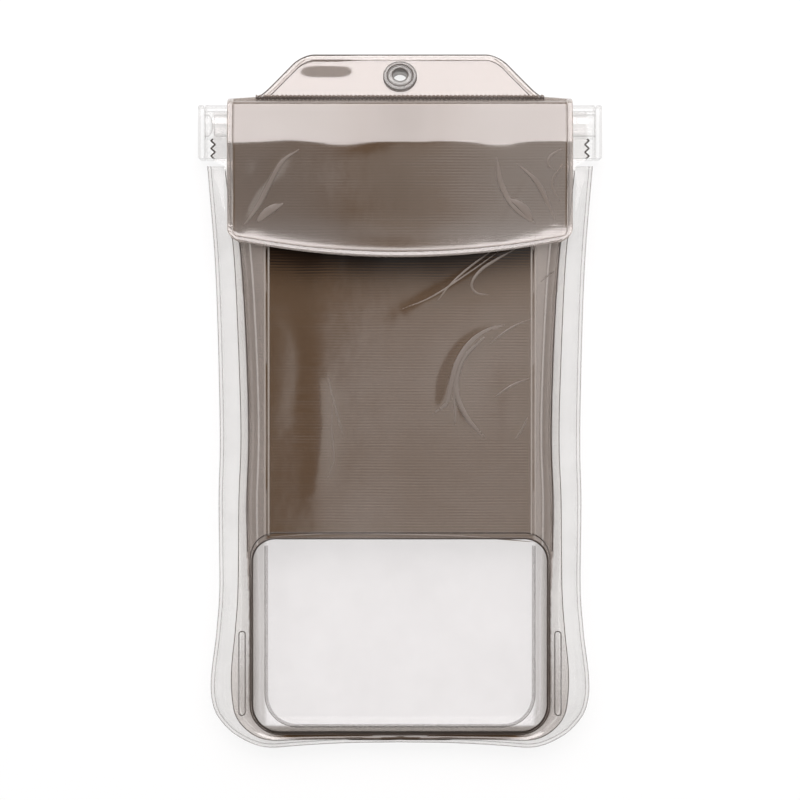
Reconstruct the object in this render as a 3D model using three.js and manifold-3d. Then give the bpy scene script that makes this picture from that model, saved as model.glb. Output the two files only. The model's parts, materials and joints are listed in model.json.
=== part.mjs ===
// A waterproof phone pouch of welded soft film. Its mouth lies round a rod, and a clear channel slides over both.
// Units are millimetres. The pouch lies on its back: +X to the right, +Y to the hang tab, +Z out of its front.
import * as THREE from "three";
import { mergeVertices } from "three/addons/utils/BufferGeometryUtils.js";
import Module from "manifold-3d";

// Films and clearances
const FILM = 0.4; // thickness of each film
const BEAD = 0.75; // thickness of the welded bead along the rim of the flap and the tab
const BEAD_WIDTH = 1.2;
const GAP = 0.3; // clearance between neighbouring pieces
const WELD_GAP = 0.3; // clearance between two films that are welded together

// Pocket for the phone
const POCKET_HALF_WIDTH = 43.4; // from the middle to the weld line, beside the camera window
const POCKET_BOTTOM = -96.7; // height of the bottom weld line
const POCKET_CORNER = 8.7; // radius of the weld line at the bottom corners
const POCKET_HALF_DEPTH = 4; // from the middle plane to the inside of each panel
const POCKET_TOP = 63.5; // height at which the pocket starts to narrow to its mouth
const SHOULDER = 6; // width of the slope from the weld line up to the flat of each panel
const WELD_HALF_WIDTH = 0.6; // half the flat width of the weld line
const SHOULDER_CURVE = 2.2; // exponent of that slope: 1 is straight, and more is steeper beside the weld line

// Extra half-width of the weld line at heights along the sides: [height, extra]
const SEAL_FLARE = [
  [70, 5.9],
  [43.5, 2.7],
  [23.3, 1.3],
  [0, 0.4],
  [-14, 0.3],
  [-29, 0.8],
  [-45, 0.6],
  [-60, 0],
];

// Width of the tinted border outside the weld line: [height] on the sides, [degrees] round the corner, [x] below
const BORDER_SIDE = [
  [70, 1.7],
  [44, 2],
  [15, 2.3],
  [-23, 2.3],
  [-46, 2.7],
  [-66, 4.1],
  [-78.5, 5.2],
];
const BORDER_CORNER = [
  [0, 4.7],
  [45, 2.9],
  [90, 1.7],
];
const BORDER_BOTTOM = [[0, 1.3]];

// Width of the clear air bladder outside the weld line, in the same way
const BLADDER_SIDE = [
  [70, 6.6],
  [40, 7.7],
  [0, 8.4],
  [-47, 8.3],
  [-67, 9.7],
  [-81, 11.3],
];
const BLADDER_CORNER = [
  [0, 10.7],
  [22.5, 8.2],
  [45, 5.9],
  [67.5, 4.6],
  [90, 3.75],
];
const BLADDER_BOTTOM = [
  [17, 2.6],
  [0, 2.3],
];
const BLADDER_RIM = 1.2; // width of the flat seam along the outer edge
const BLADDER_ROUNDNESS = 0.458; // half height of the air tube for each millimetre of its width
const BLADDER_CURVE = 0.75; // exponent of the tube's arch: 1 is a sine, and less is fuller beside the seams
const BLADDER_TAPER = 54; // height at which the air tubes start to flatten to their upper ends
const BLADDER_MARGIN = 1.9; // from their upper ends to the clamp

// Camera window in the front panel
const WINDOW_HALF_WIDTH = 42.8;
const WINDOW_TOP = -39.7;
const WINDOW_BOTTOM = -96.1;
const WINDOW_TOP_CORNER = 7;
const WINDOW_BOTTOM_CORNER = 8.1;

// Clamp: a channel with a slot along its lower side, and a rod inside it
const CLAMP_HALF_LENGTH = 58;
const CLAMP_BOTTOM = 69.4; // height of its lower side
const CLAMP_HEIGHT = 15.3;
const CLAMP_DEPTH = 10.7;
const CLAMP_CORNER = 1; // radius of its four long edges
const CLAMP_END = 1.7; // thickness of the plate at each end
const ROD_RADIUS = 3.25;
const ROD_WALL = 1.15; // wall of the channel above the bore
const SLOT_HALF_HEIGHT = 1.5;
const BOSS_LENGTH = 2.3; // how far the boss of the end cap reaches into the channel
const BOSS_SHARES = [
  [1, 0.35],
  [0.85, 0.75],
  [0.5, 0.95],
  [0, 1],
]; // profile of the boss: [share of the rod's radius, share of its length]
const MOUTH_MARGIN = 1.4; // from the end plates to the side edges of the films inside the channel
const MOUTH_CRIMP = 0.9; // depth of the zigzag along those edges
const WRAP_START = 160; // degrees round the rod, from its upper side, at which the films meet it
const WRAP_END = 12; // degrees at which they end

// Flap and hang tab
const FLAP_HALF_WIDTH = 49.55;
const FLAP_BOTTOM = 40.9; // height of the flap's lower edge at the middle
const FLAP_BOW = 5.3; // how much higher that edge is at the sides
const FLAP_CORNER = 3.5;
const FLAP_LIFT = 0.8; // how far the lower edge stands off the pouch, beyond the flap's height on the clamp
const FLAP_ROUND = 2.1; // radius of the flap where it turns over the clamp
const FLAP_CLEARANCE = 1; // from the top of the clamp to the flap
const SEAM_RISE = 2; // from the top of the clamp to the seam where the two sheets meet
const TAB_TIP = 100.45; // height of the tab's free edge
const TAB_TILT = 26; // degrees by which the tab leans back
const TAB_BASE_HALF_WIDTH = 40.5;
const TAB_TIP_HALF_WIDTH = 28.4;
const TAB_CORNER = 3.4;
const ANCHOR_BOTTOM = 52; // height of the lower edge of the rear sheet, welded to the back panel
const ANCHOR_HALF_WIDTH = 40;
const ANCHOR_START = 0.35; // where its weld starts, as a share of the way down from the pocket's top
const ANCHOR_SPREAD = 0.3; // its half-width there, as a share of the way out to the flap's half-width
const FOLD_SHARE = 0.6; // where the rear sheet leaves the clamp, as a share of the way to the seam

// Eyelet
const EYELET_INSET = 7.1; // from the tab's free edge to its centre, measured along the pouch
const EYELET_RADIUS = 4.85;
const EYELET_BORE = 2.1;
const EYELET_WALL = 0.8; // wall of the barrel through the two sheets
const EYELET_FLANGE = 0.9; // thickness of its flanges at the middle
const EYELET_EDGE = 0.4; // thickness at their outer edge, as a share of that
const EYELET_DOME = 0.6; // where the flange starts to thin out, as a share of the way to its edge

// How finely the curved pieces are divided
const BODY_ROWS = 11;
const CORNER_STEPS = 4;
const TURN_STEPS = 24;
const WRAP_STEPS = 5;
const SHOULDER_SHARES = [1, 0.77, 0.53, 0.33, 0.18]; // shares of the shoulder's width, front panel
const BACK_SHARES = [1, 0.6, 0.3]; // the same for the back panel
const BORDER_SHARES = [0.1, 0.35, 0.7, 1]; // shares of the border's width
const TUBE_SHARES = [0.06, 0.25, 0.5, 0.75, 0.94]; // shares of the air tube's width
const SHEET_SHARES = [-0.72, -0.4, 0, 0.4, 0.72]; // shares of a sheet's half-width inside its bead
const REST_SHARES = [0.75, 0.25, 0]; // shares of the clamp's height, for the rear sheet behind it
const CORNER_SHARE = 0.12; // share of a corner's radius, for the first row inside its edge

const wasm = await Module();
wasm.setup();

// A number, part of the way from one value to another.
function mix(a, b, t) {
  return a + (b - a) * t;
}

// A soft step from 0 to 1 as x goes from a to b.
function ease(x, a, b) {
  const t = THREE.MathUtils.clamp((x - a) / (b - a), 0, 1);
  return t * t * (3 - 2 * t);
}

// Evenly spaced numbers from a to b, both included.
function steps(a, b, count) {
  return Array.from({ length: count + 1 }, (_, i) => mix(a, b, i / count));
}

// A smooth function through knots [place, value], level beyond the first and the last.
function through(knots) {
  const sorted = [...knots].sort((p, q) => p[0] - q[0]);
  const slope = (i) => {
    const before = sorted[Math.max(i - 1, 0)];
    const after = sorted[Math.min(i + 1, sorted.length - 1)];
    return (after[1] - before[1]) / (after[0] - before[0]);
  };
  return (place) => {
    if (place <= sorted[0][0]) return sorted[0][1];
    if (place >= sorted.at(-1)[0]) return sorted.at(-1)[1];
    const i = sorted.findIndex((knot) => knot[0] > place) - 1;
    const [x0, y0] = sorted[i];
    const [x1, y1] = sorted[i + 1];
    const h = x1 - x0;
    const t = (place - x0) / h;
    const start = y0 * (1 + 2 * t) * (1 - t) ** 2 + h * slope(i) * t * (1 - t) ** 2;
    const end = y1 * (3 - 2 * t) * t ** 2 - h * slope(i + 1) * t ** 2 * (1 - t);
    return start + end;
  };
}

const bladderTop = CLAMP_BOTTOM - BLADDER_MARGIN;

// Plan of the pouch: a place is measured along its edge, from where the straight side meets the corner.
const baseX = POCKET_HALF_WIDTH - POCKET_CORNER;
const baseY = POCKET_BOTTOM + POCKET_CORNER;
const cornerArc = (Math.PI / 2) * POCKET_CORNER;
const placeOfHeight = (y) => y - baseY;
const placeOfAngle = (degrees) => -cornerArc * (degrees / 90);
const placeOfBottom = (x) => -cornerArc - (baseX - x);

function alongEdge(side, corner, bottom) {
  return through([
    ...side.map(([y, width]) => [placeOfHeight(y), width]),
    ...corner.map(([degrees, width]) => [placeOfAngle(degrees), width]),
    ...bottom.map(([x, width]) => [placeOfBottom(x), width]),
  ]);
}

const sealFlare = alongEdge(SEAL_FLARE, [[0, 0]], []);
const borderWidth = alongEdge(BORDER_SIDE, BORDER_CORNER, BORDER_BOTTOM);
const bladderWidth = alongEdge(BLADDER_SIDE, BLADDER_CORNER, BLADDER_BOTTOM);
const sealReach = (place) => POCKET_CORNER + Math.max(sealFlare(place), 0);

// Heights of the pieces above the floor
const clampMid = FILM + GAP + CLAMP_DEPTH / 2;
const clampTop = CLAMP_BOTTOM + CLAMP_HEIGHT;
const weldTop = WELD_GAP / 2 + FILM; // outside of a welded film above the middle plane
const valley = weldTop + GAP; // inside of the panels over the weld line
const tubeWidth = (place) => bladderWidth(place) - WELD_HALF_WIDTH - BLADDER_RIM;
const lobePlace = placeOfHeight(BLADDER_SIDE.at(-1)[0]);
const lobeHalf = weldTop + BLADDER_ROUNDNESS * tubeWidth(lobePlace);

// The middle plane sinks from the clamp to the bottom lobes, so that both rest on the floor.
function midPlane(y) {
  const t = (CLAMP_BOTTOM - y) / (CLAMP_BOTTOM - BLADDER_SIDE.at(-1)[0]);
  return mix(clampMid, lobeHalf, Math.min(t, 1));
}

// Outside of an air tube above the middle plane, at a distance d outside the weld line.
function tubeHeight(place, y, d) {
  const t = (d - WELD_HALF_WIDTH) / tubeWidth(place);
  if (t <= 0 || t >= 1) return weldTop;
  const full = 1 - ease(y, BLADDER_TAPER, bladderTop);
  return weldTop + BLADDER_ROUNDNESS * tubeWidth(place) * full * Math.sin(Math.PI * t) ** BLADDER_CURVE;
}

// A film that lies over the air tube, with a clearance square to the tube's surface.
function overTube(place, y, d) {
  const nudge = 0.05;
  const rise = (tubeHeight(place, y, d + nudge) - tubeHeight(place, y, d - nudge)) / (2 * nudge);
  const length = Math.hypot(1, rise);
  return [d - (GAP * rise) / length, tubeHeight(place, y, d) + GAP / length];
}

// Inside of a panel over the pocket, at a distance d inside the weld line.
function panelHeight(y, d) {
  const t = THREE.MathUtils.clamp((d - WELD_HALF_WIDTH) / (SHOULDER - WELD_HALF_WIDTH), 0, 1);
  const open = 1 - ease(y, POCKET_TOP, CLAMP_BOTTOM);
  const floor = mix(valley, WELD_GAP / 2, ease(y, bladderTop, CLAMP_BOTTOM));
  return mix(floor, POCKET_HALF_DEPTH, open * (1 - (1 - t) ** SHOULDER_CURVE));
}

// Rows of the films from the bottom corners up to the clamp
const bodyRows = [
  ...steps(baseY, BLADDER_TAPER, BODY_ROWS),
  ...steps(BLADDER_TAPER, POCKET_TOP, 3).slice(1),
  ...steps(POCKET_TOP, bladderTop, 3).slice(1),
  ...steps(bladderTop, CLAMP_BOTTOM, 2).slice(1),
].map((y) => ({ y, flare: ease(y, bladderTop, CLAMP_BOTTOM) }));

// Rows of a film that goes through the slot and half round the rod
const boreY = clampTop - ROD_WALL - (ROD_RADIUS + GAP + FILM + GAP);
const wrapRadius = ROD_RADIUS + GAP;
const wrapStart = boreY - wrapRadius - GAP / 2;
const mouthPath = [
  ...steps(CLAMP_BOTTOM, wrapStart, 4)
    .slice(1)
    .map((y) => [y, WELD_GAP / 2]),
  ...steps(WRAP_START, WRAP_END, WRAP_STEPS).map((degrees) => {
    const angle = THREE.MathUtils.degToRad(degrees);
    return [boreY + wrapRadius * Math.cos(angle), wrapRadius * Math.sin(angle)];
  }),
];
const mouthHalfWidth = CLAMP_HALF_LENGTH - CLAMP_END - MOUTH_MARGIN - MOUTH_CRIMP;
const mouthRows = mouthPath.map(([y, height], i) => ({
  y,
  height,
  crimp: i % 2 ? MOUTH_CRIMP : -MOUTH_CRIMP,
}));

// A surface on the pouch's plan: a field of rows and columns, and a border round its sides and bottom.
// side is 1 for the front and -1 for the rear. profile gives the border's points [reach, height] at a place.
function panelSurface(side, profile) {
  const positions = [];
  const triangles = [];
  const add = (x, y, z) => positions.push(x, y, z) / 3 - 1;
  const quad = (a, b, c, d) => {
    if (a !== b) triangles.push(a, b, c);
    if (c !== d) triangles.push(a, c, d);
  };
  const rows = [...bodyRows, ...mouthRows];
  const columns = steps(-baseX, baseX, 4);
  const fieldZ = (row) => row.height ?? panelHeight(row.y, SHOULDER);
  const mid = (row) => (row.height === undefined ? midPlane(row.y) : clampMid);
  const field = rows.map((row) => columns.map((x) => add(x, row.y, mid(row) + side * fieldZ(row))));

  // One station of the border: the field's vertex, and points outwards from it.
  const sideStation = (row, sign, inner) => {
    const points = profile(placeOfHeight(Math.min(row.y, CLAMP_BOTTOM)), Math.min(row.y, CLAMP_BOTTOM));
    const edge = points.at(-1)[0];
    const mouth = mouthHalfWidth - baseX + (row.crimp ?? 0);
    const flare = row.flare ?? 1;
    return [
      inner,
      ...points.map(([reach, height]) => {
        const x = baseX + mix(reach, (reach * mouth) / edge, flare);
        return add(sign * x, row.y, mid(row) + side * (row.height ?? height));
      }),
    ];
  };
  const cornerStation = (degrees, sign, inner) => {
    const angle = THREE.MathUtils.degToRad(degrees);
    return [
      inner,
      ...profile(placeOfAngle(degrees), baseY).map(([reach, height]) => {
        const y = baseY - reach * Math.sin(angle);
        return add(sign * (baseX + reach * Math.cos(angle)), y, midPlane(y) + side * height);
      }),
    ];
  };
  const bottomStation = (x, inner) => [
    inner,
    ...profile(placeOfBottom(Math.abs(x)), baseY).map(([reach, height]) =>
      add(x, baseY - reach, midPlane(baseY - reach) + side * height),
    ),
  ];

  const corners = steps(0, 90, CORNER_STEPS).slice(1, -1);
  const last = columns.length - 1;
  const border = [
    ...rows.map((row, i) => sideStation(row, -1, field[i][0])).reverse(),
    ...corners.map((degrees) => cornerStation(degrees, -1, field[0][0])),
    ...columns.map((x, c) => bottomStation(x, field[0][c])),
    ...corners.map((degrees) => cornerStation(degrees, 1, field[0][last])).reverse(),
    ...rows.map((row, i) => sideStation(row, 1, field[i][last])),
  ];
  for (let i = 0; i < rows.length - 1; i++)
    for (let c = 0; c < last; c++)
      quad(field[i][c], field[i][c + 1], field[i + 1][c + 1], field[i + 1][c]);
  for (let s = 0; s < border.length - 1; s++)
    for (let k = 0; k < border[s].length - 1; k++)
      quad(border[s + 1][k], border[s][k], border[s][k + 1], border[s + 1][k + 1]);
  return surface(positions, triangles);
}

// A surface along a list of stations, each a list of points.
function stripSurface(stations) {
  const width = stations[0].length;
  const triangles = [];
  for (let s = 0; s < stations.length - 1; s++)
    for (let k = 0; k < width - 1; k++) {
      const a = s * width + k;
      triangles.push(a, a + width, a + width + 1, a, a + width + 1, a + 1);
    }
  return surface(stations.flat(2), triangles);
}

function surface(positions, triangles) {
  const geometry = new THREE.BufferGeometry();
  geometry.setAttribute("position", new THREE.Float32BufferAttribute(positions, 3));
  geometry.setIndex(triangles);
  return geometry;
}

// A closed solid between a surface and a copy of it, moved square to itself by the film's thickness.
// thickness is one number, or a list with one for each vertex.
function filmSolid(sheet, thickness) {
  sheet.computeVertexNormals();
  const place = sheet.getAttribute("position");
  const normal = sheet.getAttribute("normal");
  const count = place.count;
  const positions = [...place.array];
  for (let i = 0; i < count; i++) {
    const t = Array.isArray(thickness) ? thickness[i] : thickness;
    positions.push(
      place.getX(i) + t * normal.getX(i),
      place.getY(i) + t * normal.getY(i),
      place.getZ(i) + t * normal.getZ(i),
    );
  }
  const index = [...sheet.index.array];
  const used = new Set();
  for (let i = 0; i < index.length; i += 3)
    for (let e = 0; e < 3; e++) used.add(index[i + e] + "," + index[i + ((e + 1) % 3)]);
  const triangles = [];
  for (let i = 0; i < index.length; i += 3) {
    const [a, b, c] = index.slice(i, i + 3);
    triangles.push(a + count, b + count, c + count, c, b, a);
    for (const [from, to] of [[a, b], [b, c], [c, a]])
      if (!used.has(to + "," + from))
        triangles.push(to + count, from + count, from, to + count, from, to);
  }
  return solid(surface(positions, triangles));
}

// A geometry as a solid that can be joined and cut, turned right side out if its faces point inwards.
function solid(geometry) {
  const bare = geometry.clone();
  bare.deleteAttribute("normal");
  bare.deleteAttribute("uv");
  const merged = mergeVertices(bare, 1e-4);
  const triVerts = new Uint32Array(merged.index.array);
  const vertProperties = new Float32Array(merged.getAttribute("position").array);
  const made = new wasm.Manifold(new wasm.Mesh({ numProp: 3, vertProperties, triVerts }));
  if (made.volume() > 0) return made;
  for (let i = 0; i < triVerts.length; i += 3)
    [triVerts[i + 1], triVerts[i + 2]] = [triVerts[i + 2], triVerts[i + 1]];
  return new wasm.Manifold(new wasm.Mesh({ numProp: 3, vertProperties, triVerts }));
}

function geometryOf(made) {
  const mesh = made.getMesh();
  return surface([...mesh.vertProperties], [...mesh.triVerts]).toNonIndexed();
}

// Border of the front panel: up the shoulder, over the weld line and onto the air tube.
function frontProfile(place, y) {
  const seal = sealReach(place);
  const shoulder = SHOULDER_SHARES.map((share) => share * SHOULDER);
  const border = borderWidth(place);
  return [
    ...[...shoulder, WELD_HALF_WIDTH].map((d) => [seal - d, panelHeight(y, d)]),
    ...BORDER_SHARES.map((share) => {
      const [d, height] = overTube(place, y, mix(WELD_HALF_WIDTH, border, share));
      const sunk = panelHeight(y, 0) - valley;
      return [seal + d, height + sunk];
    }),
  ];
}

// Border of the back panel: down the shoulder and flat under the weld line.
function backProfile(place, y) {
  const seal = sealReach(place);
  return [
    ...BACK_SHARES.map((share) => [seal - share * SHOULDER, panelHeight(y, share * SHOULDER)]),
    [seal - WELD_HALF_WIDTH, panelHeight(y, WELD_HALF_WIDTH)],
    [seal + WELD_HALF_WIDTH, panelHeight(y, 0)],
  ];
}

// One skin of the air bladder: a tube's half along each side, joined by a narrow strip round the bottom.
function bladderSkin(side) {
  const section = (place, y) => {
    const tube = tubeWidth(place);
    const seal = sealReach(place);
    const outer = bladderWidth(place);
    return [
      [seal - WELD_HALF_WIDTH, weldTop],
      [seal + WELD_HALF_WIDTH, weldTop],
      ...TUBE_SHARES.map((t) => {
        const d = WELD_HALF_WIDTH + t * tube;
        return [seal + d, tubeHeight(place, y, d)];
      }),
      [seal + outer - BLADDER_RIM, weldTop],
      [seal + outer, weldTop],
    ];
  };
  const rows = bodyRows.map((row) => row.y).filter((y) => y <= bladderTop + GAP / 2);
  const sideStation = (y, sign) =>
    section(placeOfHeight(y), y).map(([reach, height]) => [
      sign * (baseX + reach),
      y,
      midPlane(y) + side * height,
    ]);
  const cornerStation = (degrees, sign) => {
    const angle = THREE.MathUtils.degToRad(degrees);
    return section(placeOfAngle(degrees), baseY).map(([reach, height]) => {
      const y = baseY - reach * Math.sin(angle);
      return [sign * (baseX + reach * Math.cos(angle)), y, midPlane(y) + side * height];
    });
  };
  const bottomStation = (x) =>
    section(placeOfBottom(Math.abs(x)), baseY).map(([reach, height]) => [
      x,
      baseY - reach,
      midPlane(baseY - reach) + side * height,
    ]);
  const corners = steps(0, 90, CORNER_STEPS).slice(1, -1);
  const stations = [
    ...rows.map((y) => sideStation(y, -1)).reverse(),
    ...corners.map((degrees) => cornerStation(degrees, -1)),
    ...steps(-baseX, baseX, 4).map(bottomStation),
    ...corners.map((degrees) => cornerStation(degrees, 1)).reverse(),
    ...rows.map((y) => sideStation(y, 1)),
  ];
  return filmSolid(stripSurface(stations), side * FILM);
}

// A rounded rectangle between two heights, with its own corner radius above and below.
function roundedShape(halfWidth, bottom, top, bottomRadius, topRadius) {
  const shape = new THREE.Shape();
  shape.moveTo(halfWidth, bottom + bottomRadius);
  shape.lineTo(halfWidth, top - topRadius);
  shape.absarc(halfWidth - topRadius, top - topRadius, topRadius, 0, Math.PI / 2);
  shape.lineTo(topRadius - halfWidth, top);
  shape.absarc(topRadius - halfWidth, top - topRadius, topRadius, Math.PI / 2, Math.PI);
  shape.lineTo(-halfWidth, bottom + bottomRadius);
  shape.absarc(bottomRadius - halfWidth, bottom + bottomRadius, bottomRadius, Math.PI, 1.5 * Math.PI);
  shape.lineTo(halfWidth - bottomRadius, bottom);
  shape.absarc(halfWidth - bottomRadius, bottom + bottomRadius, bottomRadius, 1.5 * Math.PI, 2 * Math.PI);
  return shape;
}

// The window's opening as a prism through the whole pouch, smaller all round by an inset.
function windowPrism(inset) {
  const shape = roundedShape(
    WINDOW_HALF_WIDTH - inset,
    WINDOW_BOTTOM + inset,
    WINDOW_TOP - inset,
    WINDOW_BOTTOM_CORNER - inset,
    WINDOW_TOP_CORNER - inset,
  );
  const depth = 2 * clampMid;
  return solid(new THREE.ExtrudeGeometry(shape, { depth, bevelEnabled: false, curveSegments: 6 }));
}

// A shape drawn in the plane across the pouch (height, depth), extruded along X from x0 to x1.
function alongX(shape, x0, x1) {
  const geometry = new THREE.ExtrudeGeometry(shape, {
    depth: x1 - x0,
    bevelEnabled: false,
    curveSegments: TURN_STEPS,
  });
  const turn = new THREE.Matrix4().makeBasis(
    new THREE.Vector3(0, 1, 0),
    new THREE.Vector3(0, 0, 1),
    new THREE.Vector3(1, 0, 0),
  );
  return solid(geometry.applyMatrix4(turn).translate(x0, 0, 0));
}

// Outline of the clamp's section, drawn as height across and depth up, centred on the middle plane.
function clampShape() {
  const shape = roundedShape(
    CLAMP_HEIGHT / 2,
    -CLAMP_DEPTH / 2,
    CLAMP_DEPTH / 2,
    CLAMP_CORNER,
    CLAMP_CORNER,
  );
  const coarse = shape.getPoints(3);
  return coarse.map((p) => new THREE.Vector2(p.x + CLAMP_BOTTOM + CLAMP_HEIGHT / 2, p.y + clampMid));
}

const boreRadius = ROD_RADIUS + GAP + FILM + GAP;

function circle(radius) {
  return new THREE.Shape().absarc(boreY, clampMid, radius, 0, 2 * Math.PI);
}

// Channel: the outline, less the round bore and the slot that lets the films in.
function clampChannel() {
  const left = CLAMP_END + GAP - CLAMP_HALF_LENGTH;
  const right = CLAMP_HALF_LENGTH - CLAMP_END - GAP;
  const past = CLAMP_HEIGHT;
  const slot = new THREE.Shape([
    new THREE.Vector2(CLAMP_BOTTOM - GAP, clampMid - SLOT_HALF_HEIGHT),
    new THREE.Vector2(boreY, clampMid - SLOT_HALF_HEIGHT),
    new THREE.Vector2(boreY, clampMid + SLOT_HALF_HEIGHT),
    new THREE.Vector2(CLAMP_BOTTOM - GAP, clampMid + SLOT_HALF_HEIGHT),
  ]);
  const cut = alongX(circle(boreRadius), left - past, right + past).add(
    alongX(slot, left - past, right + past),
  );
  return alongX(new THREE.Shape(clampShape()), left, right).subtract(cut);
}

// End cap of the channel: a plate, and a domed boss that reaches into the bore.
function channelEndCap() {
  const plateEnd = CLAMP_END - CLAMP_HALF_LENGTH;
  const plate = alongX(new THREE.Shape(clampShape()), -CLAMP_HALF_LENGTH, plateEnd);
  const dome = [
    [0, -CLAMP_END / 2],
    [ROD_RADIUS, -CLAMP_END / 2],
    ...BOSS_SHARES.map(([radius, height]) => [radius * ROD_RADIUS, height * BOSS_LENGTH]),
  ].map(([radius, height]) => new THREE.Vector2(radius, height));
  const boss = new THREE.LatheGeometry(dome, TURN_STEPS).rotateZ(-Math.PI / 2);
  return plate.add(solid(boss.translate(plateEnd, boreY, clampMid)));
}

// Rod: a round bar with a head plate that closes the channel's other end.
function sealingRod() {
  const start = CLAMP_END - CLAMP_HALF_LENGTH + BOSS_LENGTH + GAP;
  const head = CLAMP_HALF_LENGTH - CLAMP_END;
  const bar = alongX(circle(ROD_RADIUS), start, head + CLAMP_END / 2);
  return bar.add(alongX(new THREE.Shape(clampShape()), head, CLAMP_HALF_LENGTH));
}

// Frame of the hang tab: it starts at the seam and leans back, so that its tip comes down to the floor.
const tilt = THREE.MathUtils.degToRad(TAB_TILT);
const seamY = clampTop + SEAM_RISE;
const layer = WELD_GAP / 2 + FILM;
const tabLength = (TAB_TIP - seamY - (WELD_GAP / 2 + BEAD) * Math.sin(tilt)) / Math.cos(tilt);
const seamZ = tabLength * Math.sin(tilt) + (WELD_GAP / 2 + BEAD) * Math.cos(tilt);

// A point [height, depth] on the tab, at a distance from the seam and off the tab's middle plane.
function onTab(distance, off) {
  return [
    seamY + distance * Math.cos(tilt) + off * Math.sin(tilt),
    seamZ - distance * Math.sin(tilt) + off * Math.cos(tilt),
  ];
}

// Half-width of the tab at a distance from the seam, with its tip corners rounded.
function tabHalfWidth(distance) {
  const straight = mix(TAB_BASE_HALF_WIDTH, TAB_TIP_HALF_WIDTH, distance / tabLength);
  const inside = Math.max(TAB_CORNER - (tabLength - distance), 0);
  return straight - (TAB_CORNER - Math.sqrt(TAB_CORNER ** 2 - inside ** 2));
}

// Rows of the tab, from its tip to just short of the seam.
function tabRows(off) {
  const fromTip = [0, TAB_CORNER * CORNER_SHARE, BEAD_WIDTH, BEAD_WIDTH + FILM, TAB_CORNER];
  const distances = [
    ...fromTip.map((d) => tabLength - d),
    ...steps(tabLength - TAB_CORNER, FILM, 3).slice(1),
  ];
  return distances.map((distance) => ({
    at: onTab(distance, off),
    halfWidth: tabHalfWidth(distance),
    rim: tabLength - distance < BEAD_WIDTH + FILM / 2,
    beaded: true,
    bow: 0,
  }));
}

// A sheet over rows, each with its place [height, depth] and half-width. Its rim carries the bead.
function sheetSolid(rows, side) {
  const thickness = [];
  const stations = rows.map(({ at, halfWidth, rim, beaded, bow }) => {
    const flat = halfWidth - BEAD_WIDTH - FILM;
    const xs = [
      -halfWidth,
      BEAD_WIDTH - halfWidth,
      -flat,
      ...SHEET_SHARES.map((share) => share * flat),
      flat,
      halfWidth - BEAD_WIDTH,
      halfWidth,
    ];
    return xs.map((x, k) => {
      const edge = k < 2 || k > xs.length - 3;
      thickness.push(side * (rim || (beaded && edge) ? BEAD : FILM));
      return [x, at[0] + bow * (x / FLAP_HALF_WIDTH) ** 2, at[1]];
    });
  });
  return filmSolid(stripSurface(stations), thickness);
}

// Front sheet: the tab's front layer, then over the clamp and down the front of the pouch.
function flapSheet() {
  const inside = clampTop + FLAP_CLEARANCE;
  const top = clampMid + CLAMP_DEPTH / 2 + GAP;
  const turn = steps(0, 90, 3).map((degrees) => {
    const angle = THREE.MathUtils.degToRad(degrees);
    return [
      inside - FLAP_ROUND + FLAP_ROUND * Math.cos(angle),
      top - FLAP_ROUND + FLAP_ROUND * Math.sin(angle),
    ];
  });
  const over = [...turn, [mix(CLAMP_BOTTOM, clampTop, 0.5), top], [CLAMP_BOTTOM, top]];
  const corner = [FLAP_CORNER, BEAD_WIDTH + FILM, BEAD_WIDTH, FLAP_CORNER * CORNER_SHARE, 0];
  const down = [
    ...steps(CLAMP_BOTTOM, FLAP_BOTTOM + FLAP_CORNER, 5).slice(1, -1),
    ...corner.map((e) => FLAP_BOTTOM + e),
  ].map((y) => {
    const share = (CLAMP_BOTTOM - y) / (CLAMP_BOTTOM - FLAP_BOTTOM);
    const inwards = Math.max(FLAP_CORNER - (y - FLAP_BOTTOM), 0);
    return {
      at: [y, top + FLAP_LIFT * (2 * share ** 2 - share)],
      halfWidth: FLAP_HALF_WIDTH - FLAP_CORNER + Math.sqrt(FLAP_CORNER ** 2 - inwards ** 2),
      rim: y - FLAP_BOTTOM < BEAD_WIDTH + FILM / 2,
      beaded: true,
      bow: FLAP_BOW * share,
    };
  });
  return sheetSolid(
    [
      ...tabRows(WELD_GAP / 2),
      ...over.map((at) => ({ at, halfWidth: FLAP_HALF_WIDTH, rim: false, beaded: true, bow: 0 })),
      ...down,
    ],
    1,
  );
}

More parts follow.
